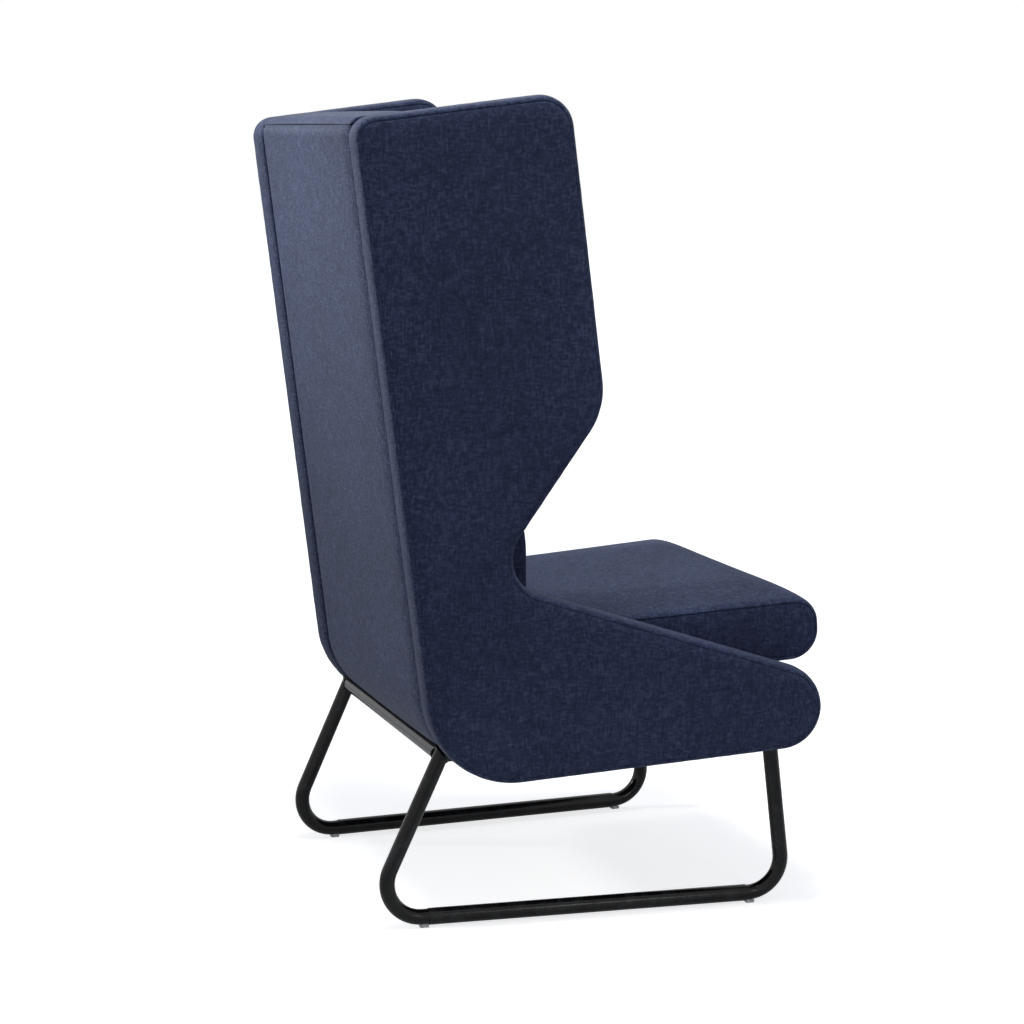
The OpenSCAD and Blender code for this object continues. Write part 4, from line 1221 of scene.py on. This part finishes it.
@dataclass
class Back:
    """Back cushion, rear padding, top band, foam block and the back's timbers.

    The EDGE profiles and GIVE pairs are as in the seat.
    """

    plan: Plan = PLAN
    crown: float = 0.005
    rear_crown: float = 0.0015
    top_crown: float = 0.0008
    side_sink: float = 0.0050
    end_gap: float = 0.0024
    corner_radius: float = 0.009
    heel_centre: Array = field(init=False)
    pad_end: float = field(init=False)

    REAR_EDGE = (
        (0.0200, 0.0), (0.0150, 0.0001), (0.0105, 0.0003), (0.0070, 0.0007), (0.0042, 0.0013),
        (0.0020, 0.0022), (0.0007, 0.0031), (0.0002, 0.0038))
    REAR_POINTS, HEEL_POINTS, SHOULDER_POINTS, END_POINTS = 64, 22, 6, 13
    END_OVERLAP, TUBE_CLEARANCE, NEUTRAL_SHARE = 0.002, 0.0015, 0.4
    SUNK_FROM = (0.88, 0.12)
    TOP_EDGE = (
        (0.0075, 0.0), (0.0045, 0.0001), (0.0022, 0.0005), (0.0008, 0.0010), (0.0002, 0.0013))
    TOP_RADII = (0.0010, 0.020, 0.0076, 0.0014)
    CUSHION_EDGE = (
        (0.0120, 0.0), (0.0086, 0.0003), (0.0058, 0.0010), (0.0035, 0.0022), (0.0018, 0.0037),
        (0.0009, 0.0050), (0.0016, 0.0058), (0.0010, 0.0066), (0.0004, 0.0078))
    FRONT_DEPTH, FRONT_SPAN, SOFTER = 0.085, 0.012, 1.5
    GIVE_DEPTH, GIVE_LEAD, GIVE_SIDE = 0.080, (0.0, 0.02), (0.014, 0.04)
    TOP_HELD, GIVE_BELOW_TOP, GIVE_OVER_SEAT = 0.012, (0.0, 0.04), (0.57, 0.08)
    FOAM_EDGE = ((0.0030, 0.0), (0.0012, 0.0003), (0.0004, 0.0007))
    FOAM_TIP_SHARE, FOAM_FOOT_RADIUS, FOAM_TIP_RADIUS = 0.92, 0.002, 0.0008

    def __post_init__(self) -> None:
        """Finds the heel's centre and where the rear padding ends over the rear tube."""
        p = self.plan
        turn = math.acos(float(-FORWARD @ UP_BACK))
        self.heel_centre = HEEL + unit(UP_BACK + FORWARD) * p.heel_radius / math.cos(turn / 2)
        span = np.array([p.frame_y, p.frame_z]) - self.heel_centre
        reach, far = p.heel_radius - p.rear_recess, float(np.linalg.norm(span))
        clear = p.tube_d / 2 + self.TUBE_CLEARANCE
        swing = math.acos(min(1.0, (far**2 + reach**2 - clear**2) / (2 * far * reach)))
        self.pad_end = math.atan2(span[1], span[0]) + swing

    def _rear_line(self, inset: float, top: float) -> Array:
        """Points (y, z) from a rise down the back and round the heel, drawn in by an inset."""
        radius = self.plan.heel_radius - inset
        end = self.pad_end + self.END_OVERLAP / radius
        angles = np.linspace(-LEAN, end, self.HEEL_POINTS)
        arc = self.heel_centre + radius * np.stack([np.cos(angles), np.sin(angles)], 1)
        head = self.plan.leaned(inset, top)
        shares = np.linspace(0, 1, self.REAR_POINTS, endpoint=False)[:, None]
        return np.concatenate([head + (arc[0] - head) * shares, arc])

    def _shoulder(self, rise: float) -> tuple[float, float]:
        """Depth and turn of the rounding between the rear face and the top, at a rise."""
        p = self.plan
        reach = p.crown_rear_radius - p.rear_recess
        turn = math.asin(max(0.0, min(1.0, (rise - p.panel_length + reach) / reach)))
        return p.crown_rear_radius - reach * math.cos(turn), turn

    def rear_pad(self) -> Piece:
        """The padded rear face, bowed a little, with rolled sides and ends."""
        p = self.plan
        top = p.back_top - self.end_gap
        start = p.panel_length - p.crown_rear_radius + p.rear_recess
        rises = np.linspace(top, start, self.SHOULDER_POINTS + 1)[:-1]
        outer = np.concatenate([[p.leaned(self._shoulder(r)[0], r) for r in rises],
                                self._rear_line(p.rear_recess, start)])
        inner = self._rear_line(p.rear_recess + p.rear_pad_t, top)

        def turned(a: Array, b: Array, reach: float, full: float) -> Array:
            """Points of a rounded end from one line's end to the other's."""
            mid, arm = (a + b) / 2, (a - b) / 2
            side = np.array([arm[1], -arm[0]]) * reach
            angles = np.linspace(0, math.pi, self.END_POINTS + 2)[1:-1, None]
            level = np.sign(np.cos(angles)) * np.abs(np.cos(angles)) ** full
            return mid + arm * level + side * np.sin(angles) ** full

        loop = np.concatenate([
            outer, turned(outer[-1], inner[-1], reach=0.8, full=1.0),
            inner[::-1], turned(inner[0], outer[0], reach=0.36, full=0.55)])
        neutral = p.rear_recess + p.rear_pad_t * self.NEUTRAL_SHARE
        rear = p.leaned(neutral, 0)

        def swell(flat: Array, share: Array) -> Array:
            """Bow of the rear face, none on the side towards the board."""
            spokes = flat - self.heel_centre
            far = np.linalg.norm(spokes, axis=1, keepdims=True)
            above = (flat - rear) @ UP_BACK > (self.heel_centre - rear) @ UP_BACK
            ways = np.where(above[:, None], BEHIND, spokes / far)
            depth = np.where(above, (flat - rear) @ BEHIND, far[:, 0] - p.heel_radius + neutral)
            sunk = self.side_sink * ramped(np.abs(share), *self.SUNK_FROM) ** 2
            bow = (self.rear_crown * (1 - share**2) - sunk) * (depth > 0)
            return ways * bow[:, None]

        piece = Wrap("back_rear_cover", Outline.through(loop[::-1]), p.side_width,
                     self.REAR_EDGE, columns=44, grid=0.006, swell=swell).build()
        return upholstered(piece, SHELL_CLOTH, "back_rear_pad", fill=0.95)

    def top_band(self) -> Piece:
        """The padded strip along the back's top edge."""
        p = self.plan
        depth, turn = self._shoulder(p.back_top)
        corners = (p.leaned(depth, p.back_top),
                   p.leaned(depth + p.top_band_t * math.tan(turn), p.panel_length),
                   p.leaned(p.back_top_depth, p.panel_length),
                   p.leaned(p.back_top_depth, p.back_top))
        outline = Outline.rounded(list(zip(corners, self.TOP_RADII)), spacing=0.006)

        def swell(flat: Array, share: Array) -> Array:
            """Slight crown across the chair."""
            return np.stack([np.zeros(len(flat)), self.top_crown * (1 - share**2)], 1)

        piece = Wrap("back_top_cover", outline, p.side_width, self.TOP_EDGE, columns=44,
                     grid=0.004, swell=swell).build()
        return upholstered(piece, SHELL_CLOTH, "back_top_band", fill=0.9)

    def _board_line(self, y: float) -> Array:
        """The point over the seat board at y."""
        over = crossing(self.plan.tilted(0, self.plan.board_top), FORWARD,
                        np.array([y, 0.0]), np.array([0.0, 1.0]))
        return over + np.array([0.0, HAIR_GAP])

    def _lines(self) -> tuple[Array, Array, float, float]:
        """The swell's rear corner, the block's upper corner, and the front and rear y below."""
        p = self.plan
        front_y = float(p.leaned(p.lumbar_depth, p.lumbar_rise)[0])
        rear_y = front_y + p.cushion_t
        swell = np.array([rear_y, p.leaned(p.lumbar_depth - p.cushion_t, p.lumbar_rise)[1]])
        return swell, p.leaned(p.board_front, p.block_rise), front_y, rear_y

    def cushion(self) -> Piece:
        """The back cushion, full at the loins, under the top band and down to the seat."""
        p = self.plan
        swell_at, block_at, front_y, rear_y = self._lines()
        soft, corner = self.SOFTER * p.heel_radius, self.corner_radius
        outline = Outline.rounded([
            (self._board_line(rear_y), corner), (swell_at, soft), (block_at, soft),
            (p.leaned(p.board_front, p.back_top), corner),
            (p.leaned(p.back_top_depth, p.back_top), corner),
            (p.leaned(p.lumbar_depth, p.lumbar_rise), soft),
            (self._board_line(front_y), corner)], spacing=0.011)

        def lead(y: Array, z: Array, depth: float) -> Array:
            """How far points lie in front of a plane at a depth inside the rear edge."""
            return p.heel_y - depth + (z - p.heel_z) * math.tan(LEAN) - y

        def swell(flat: Array, share: Array) -> Array:
            """Fullness of the front, most in the middle."""
            front = ramped(lead(flat[:, 0], flat[:, 1], self.FRONT_DEPTH), 0, self.FRONT_SPAN)
            return np.stack([-self.crown * (1 - share**2) * front, np.zeros(len(flat))], 1)

        piece = Wrap("back_cushion_cover", outline, p.side_width, self.CUSHION_EDGE,
                     columns=50, grid=0.014, swell=swell).build()
        x, y, z = vertex_array(piece.data).T
        top = p.leaned(p.back_top_depth, p.back_top)[1]
        give = ramped(lead(y, z, self.GIVE_DEPTH), *self.GIVE_LEAD)
        give *= ramped(p.side_width(y) - np.abs(x), *self.GIVE_SIDE)
        give *= ramped(top - self.TOP_HELD - z, *self.GIVE_BELOW_TOP)
        give *= ramped(z, *self.GIVE_OVER_SEAT)
        Filling().press(piece, give)
        return upholstered(piece, SEAT_CLOTH, "back_cushion", fill=0.85)

    def lumbar_block(self) -> Piece:
        """The firm foam wedge between the board and the cushion."""
        p = self.plan
        swell_at, block_at, _, rear_y = self._lines()
        tip = swell_at + self.FOAM_TIP_SHARE * (block_at - swell_at)
        brow = p.leaned(p.board_front, float((tip - HEEL) @ UP_BACK))
        foot = crossing(p.leaned(p.board_front, 0), UP_BACK, self._board_line(0.0), FORWARD)
        outline = Outline.rounded([
            (self._board_line(rear_y), self.FOAM_FOOT_RADIUS), (foot, self.FOAM_FOOT_RADIUS),
            (brow, self.FOAM_TIP_RADIUS), (tip, self.FOAM_TIP_RADIUS),
            (swell_at, self.SOFTER * p.heel_radius)], spacing=0.02)
        piece = Wrap("lumbar_foam", outline, p.side_width, self.FOAM_EDGE, columns=24,
                     grid=0.025).build()
        return upholstered(piece, FOAM, "lumbar_block", fill=1.0)

    def build(self) -> None:
        """Makes and dresses the whole back."""
        self.rear_pad()
        self.top_band()
        self.cushion()
        self.lumbar_block()
        dress_nodes(PLY_BACK, "back_board")
        dress_nodes(HARDBOARD, "back_rear_panel")
        dress_nodes(TIMBER_TALL, "left_back_stile", "right_back_stile")
        dress_nodes(TIMBER_WIDE, "back_top_rail", "back_bottom_rail")


# ---------------------------------------------------------------- sled base


@dataclass
class SledBase:
    """The tube base: coated steel, welds, glides and fasteners."""

    plan: Plan = PLAN
    bead: float = 0.0016
    ripple: float = 0.16
    ripple_rate: float = 2.1

    LEG_PROBE = 0.1
    BEAD_SIDES, BEAD_POINTS = 8, 60
    SEARCH_REACH, SEARCH_STEPS = 2.2, 90
    STEEL = ("floor_tube", "_leg", "top_rail", "cross_tube", "rail_sleeve", "base_tabs")
    FASTENERS = ("bolts", "washers", "tee_nuts")

    def _tube_lines(self, side: Side) -> list[tuple[Array, Array]]:
        """The axes that meet at one side's upper corners, as points and directions.

        Args:
            side: Which side.

        Returns:
            The top rail from its rear and from its front corner, then the two legs.
        """
        p = self.plan
        flat = np.array([p.tilted(0, 0), p.tilted(p.frame_depth, 0)])
        flat[:, 0] = [p.along(float(y), p.tube_depth) for y in flat[:, 0]]
        lean, fore = math.radians(p.rear_leg_lean), math.radians(p.front_leg_lean)
        down = np.array([[math.sin(lean), -math.cos(lean)], [-math.sin(fore), -math.cos(fore)]])
        a, b, c, d = p.on_panel(side, np.full(4, -p.tube_depth),
                                np.concatenate([flat, flat + self.LEG_PROBE * down]))
        return [(a, unit(b - a)), (b, unit(a - b)), (a, unit(c - a)), (b, unit(d - b))]

    def _bead(self, mesh: SkinMesh, path: Array, centre: Array) -> None:
        """Lays a closed weld bead along a path.

        Args:
            mesh: The mesh that takes it.
            path: Points of the closed path.
            centre: A point inside it.
        """
        angles = np.linspace(0, 2 * math.pi, self.BEAD_SIDES, endpoint=False)
        places = []
        for i, spot in enumerate(path):
            way = unit(path[(i + 1) % len(path)] - path[i - 1])
            out = spot - centre
            out = unit(out - way * (out @ way))
            across = np.cross(way, out)
            size = self.bead * (1 + self.ripple * math.sin(i * self.ripple_rate))
            places.append(np.array([
                spot + size * (math.cos(a) * out + math.sin(a) * across) for a in angles]))
        mesh.loft(places, closed=True)

    def welds(self, side: Side) -> Piece:
        """The weld beads at one side's two upper corners."""
        radius = self.plan.tube_d / 2
        rear_rail, front_rail, rear_leg, front_leg = self._tube_lines(side)
        mesh = SkinMesh()
        for rail, leg in ((rear_rail, rear_leg), (front_rail, front_leg)):
            corner = rail[0]
            normal = unit(leg[1] - rail[1])
            first = unit(np.cross(leg[1], rail[1]))
            second = np.cross(leg[1], first)
            mitre, joint = [], []
            for angle in np.linspace(0, 2 * math.pi, self.BEAD_POINTS, endpoint=False):
                rim = radius * (math.cos(angle) * first + math.sin(angle) * second)
                mitre.append(corner + rim - leg[1] * (rim @ normal) / (leg[1] @ normal))
                rim = radius * np.array([0.0, math.sin(angle), math.cos(angle)])
                joint.append(self._meets(corner + rim, side, (rail, leg), radius))
            self._bead(mesh, np.array(mitre), corner)
            self._bead(mesh, np.array(joint), np.mean(joint, axis=0))
        return seat_in_frame(mesh.build(f"{side.name.lower()}_welds"), POWDER)

    def _meets(self, rim: Array, side: Side, lines: Sequence[tuple[Array, Array]],
               radius: float) -> Array:
        """Where a line along the cross tube's skin leaves the corner's two tubes.

        Args:
            rim: Start of the line, beside the corner.
            side: Which side.
            lines: The two tubes' axes.
            radius: The tubes' radius.

        Returns:
            The meeting point.
        """
        inward = np.array([-float(side.value), 0.0, 0.0])
        best = 0.0
        for start, way in lines:
            for reach in np.linspace(0, self.SEARCH_REACH * radius, self.SEARCH_STEPS):
                spot = rim + inward * reach - start
                if np.linalg.norm(spot - way * max(spot @ way, -radius)) <= radius:
                    best = max(best, reach)
        return rim + inward * best

    def build(self) -> None:
        """Dresses the tubes, glides and fasteners, and adds the welds."""
        names = [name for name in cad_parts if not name.startswith("back")]
        dress_nodes(POWDER, *(name for name in names if name.endswith(self.STEEL)))
        dress_nodes(ZINC, *(name for name in names if name.endswith(self.FASTENERS)))
        dress_nodes(NYLON, "floor_glides")
        for side in Side:
            self.welds(side)


# ---------------------------------------------------------------- studio


@dataclass(frozen=True)
class Lamp:
    """One soft lamp: its place, the point it faces, its width, watts and beam in degrees."""

    name: str
    spot: tuple[float, float, float]
    aim: tuple[float, float, float]
    size: float
    power: float
    spread: float

    def hang(self) -> None:
        """Adds the lamp to the scene."""
        light = bpy.data.lights.new(self.name, "AREA")
        light.size, light.energy, light.spread = self.size, self.power, math.radians(self.spread)
        light.color = (1.0, 0.99, 0.93)
        piece = linked(self.name, light)
        piece.location = self.spot
        way = Vector(self.aim) - Vector(self.spot)
        piece.rotation_euler = way.to_track_quat("-Z", "Y").to_euler()


@dataclass
class Studio:
    """Pale floor, soft lamps, a white surround and the camera."""

    lens: float = 93.90
    spot: tuple[float, float, float] = (-3.7490, 1.24705, 1.1155)
    yaw: float = 71.933
    pitch: float = 8.232
    glow: float = 0.74
    ambient: float = 0.27
    sky: Colour = colour(0.88, 0.96, 1.14)

    FLOOR_RADII, FLOOR_SIDES = (0.3, 1.0, 3.0, 9.0, 24.0), 64
    LAMPS = (Lamp("rear_upper", (1.2, 2.3, 1.9), (0.0, 0.3, 1.16), 0.45, 6.3, 45.0),
             Lamp("above", (-0.5, 0.25, 3.0), (0.0, 0.0, 0.9), 0.9, 5.2, 50.0),
             Lamp("near_side", (-3.1, -0.7, 1.3), (0.0, 0.0, 0.8), 0.3, 0.75, 60.0))

    def camera(self) -> None:
        """Sets the camera at the photograph's place."""
        made = bpy.data.cameras.new("camera")
        made.lens, made.sensor_width = self.lens, 36.0
        made.clip_start, made.clip_end = 0.05, 60.0
        piece = linked("camera", made)
        piece.location = self.spot
        piece.rotation_euler = (math.radians(90 - self.pitch), 0.0, math.radians(180 + self.yaw))
        bpy.context.scene.camera = piece

    def floor(self) -> None:
        """A wide pale floor that keeps the object's shadow."""
        angles = np.linspace(0, 2 * math.pi, self.FLOOR_SIDES, endpoint=False)
        circle = np.stack([np.cos(angles), np.sin(angles), np.zeros_like(angles)], 1)
        mesh = SkinMesh()
        rings = mesh.loft([radius * circle for radius in self.FLOOR_RADII])
        mesh.faces.append(tuple(rings[0]))
        piece = mesh.build("studio_floor")
        made = bpy.data.materials.new("studio_floor")
        sh = Shader.fresh(made)
        place, path = sh.place(), sh.node("ShaderNodeLightPath").outputs
        paint = sh.mix(sh.noise(place, 3.0), colour(0.80, 0.80, 0.805), colour(0.82, 0.82, 0.82))
        surface = sh.node("ShaderNodeBsdfPrincipled", None, Base_Color=paint, Roughness=0.9,
                          Specular_IOR_Level=0.1)
        bright = sh.ramp(sh.vector("LENGTH", place), 0.75, 1.7, self.glow, 1.0)
        seen = sh.math("MAXIMUM", path["Is Camera Ray"],
                       sh.math("MULTIPLY", path["Is Glossy Ray"], 0.4))
        glow = sh.node("ShaderNodeEmission", None, Color=WHITE,
                       Strength=sh.math("MULTIPLY", seen, bright))
        both = sh.node("ShaderNodeAddShader")
        sh.put(both.inputs[0], surface.outputs[0])
        sh.put(both.inputs[1], glow.outputs[0])
        sh.node("ShaderNodeOutputMaterial", None, Surface=both.outputs[0])
        piece.data.materials.append(made)

    def surround(self) -> None:
        """White to the camera, soft grey light to everything else."""
        world = bpy.data.worlds.new("surround")
        bpy.context.scene.world = world
        sh = Shader.fresh(world)
        path = sh.node("ShaderNodeLightPath").outputs
        seen = sh.math("MAXIMUM", path["Is Camera Ray"], path["Is Glossy Ray"])
        seen = sh.math("MAXIMUM", seen, path["Is Transmission Ray"])
        back = sh.node("ShaderNodeBackground", None, Color=sh.mix(seen, self.sky, WHITE),
                       Strength=sh.ramp(seen, 0.0, 1.0, self.ambient, 1.0))
        sh.node("ShaderNodeOutputWorld", None, Surface=back.outputs[0])

    def build(self) -> None:
        """Sets up the whole studio."""
        bpy.context.scene.view_settings.view_transform = "Standard"
        self.camera()
        self.floor()
        self.surround()
        for lamp in self.LAMPS:
            lamp.hang()


def main() -> None:
    """Builds the chair and its studio in order."""
    logging.basicConfig(level=logging.INFO, format="%(name)s: %(message)s")
    for side in Side:
        SidePanel(side).build()
    for part in (Back(), Seat(), SledBase(), Studio()):
        part.build()


if __name__ == "__main__":
    main()
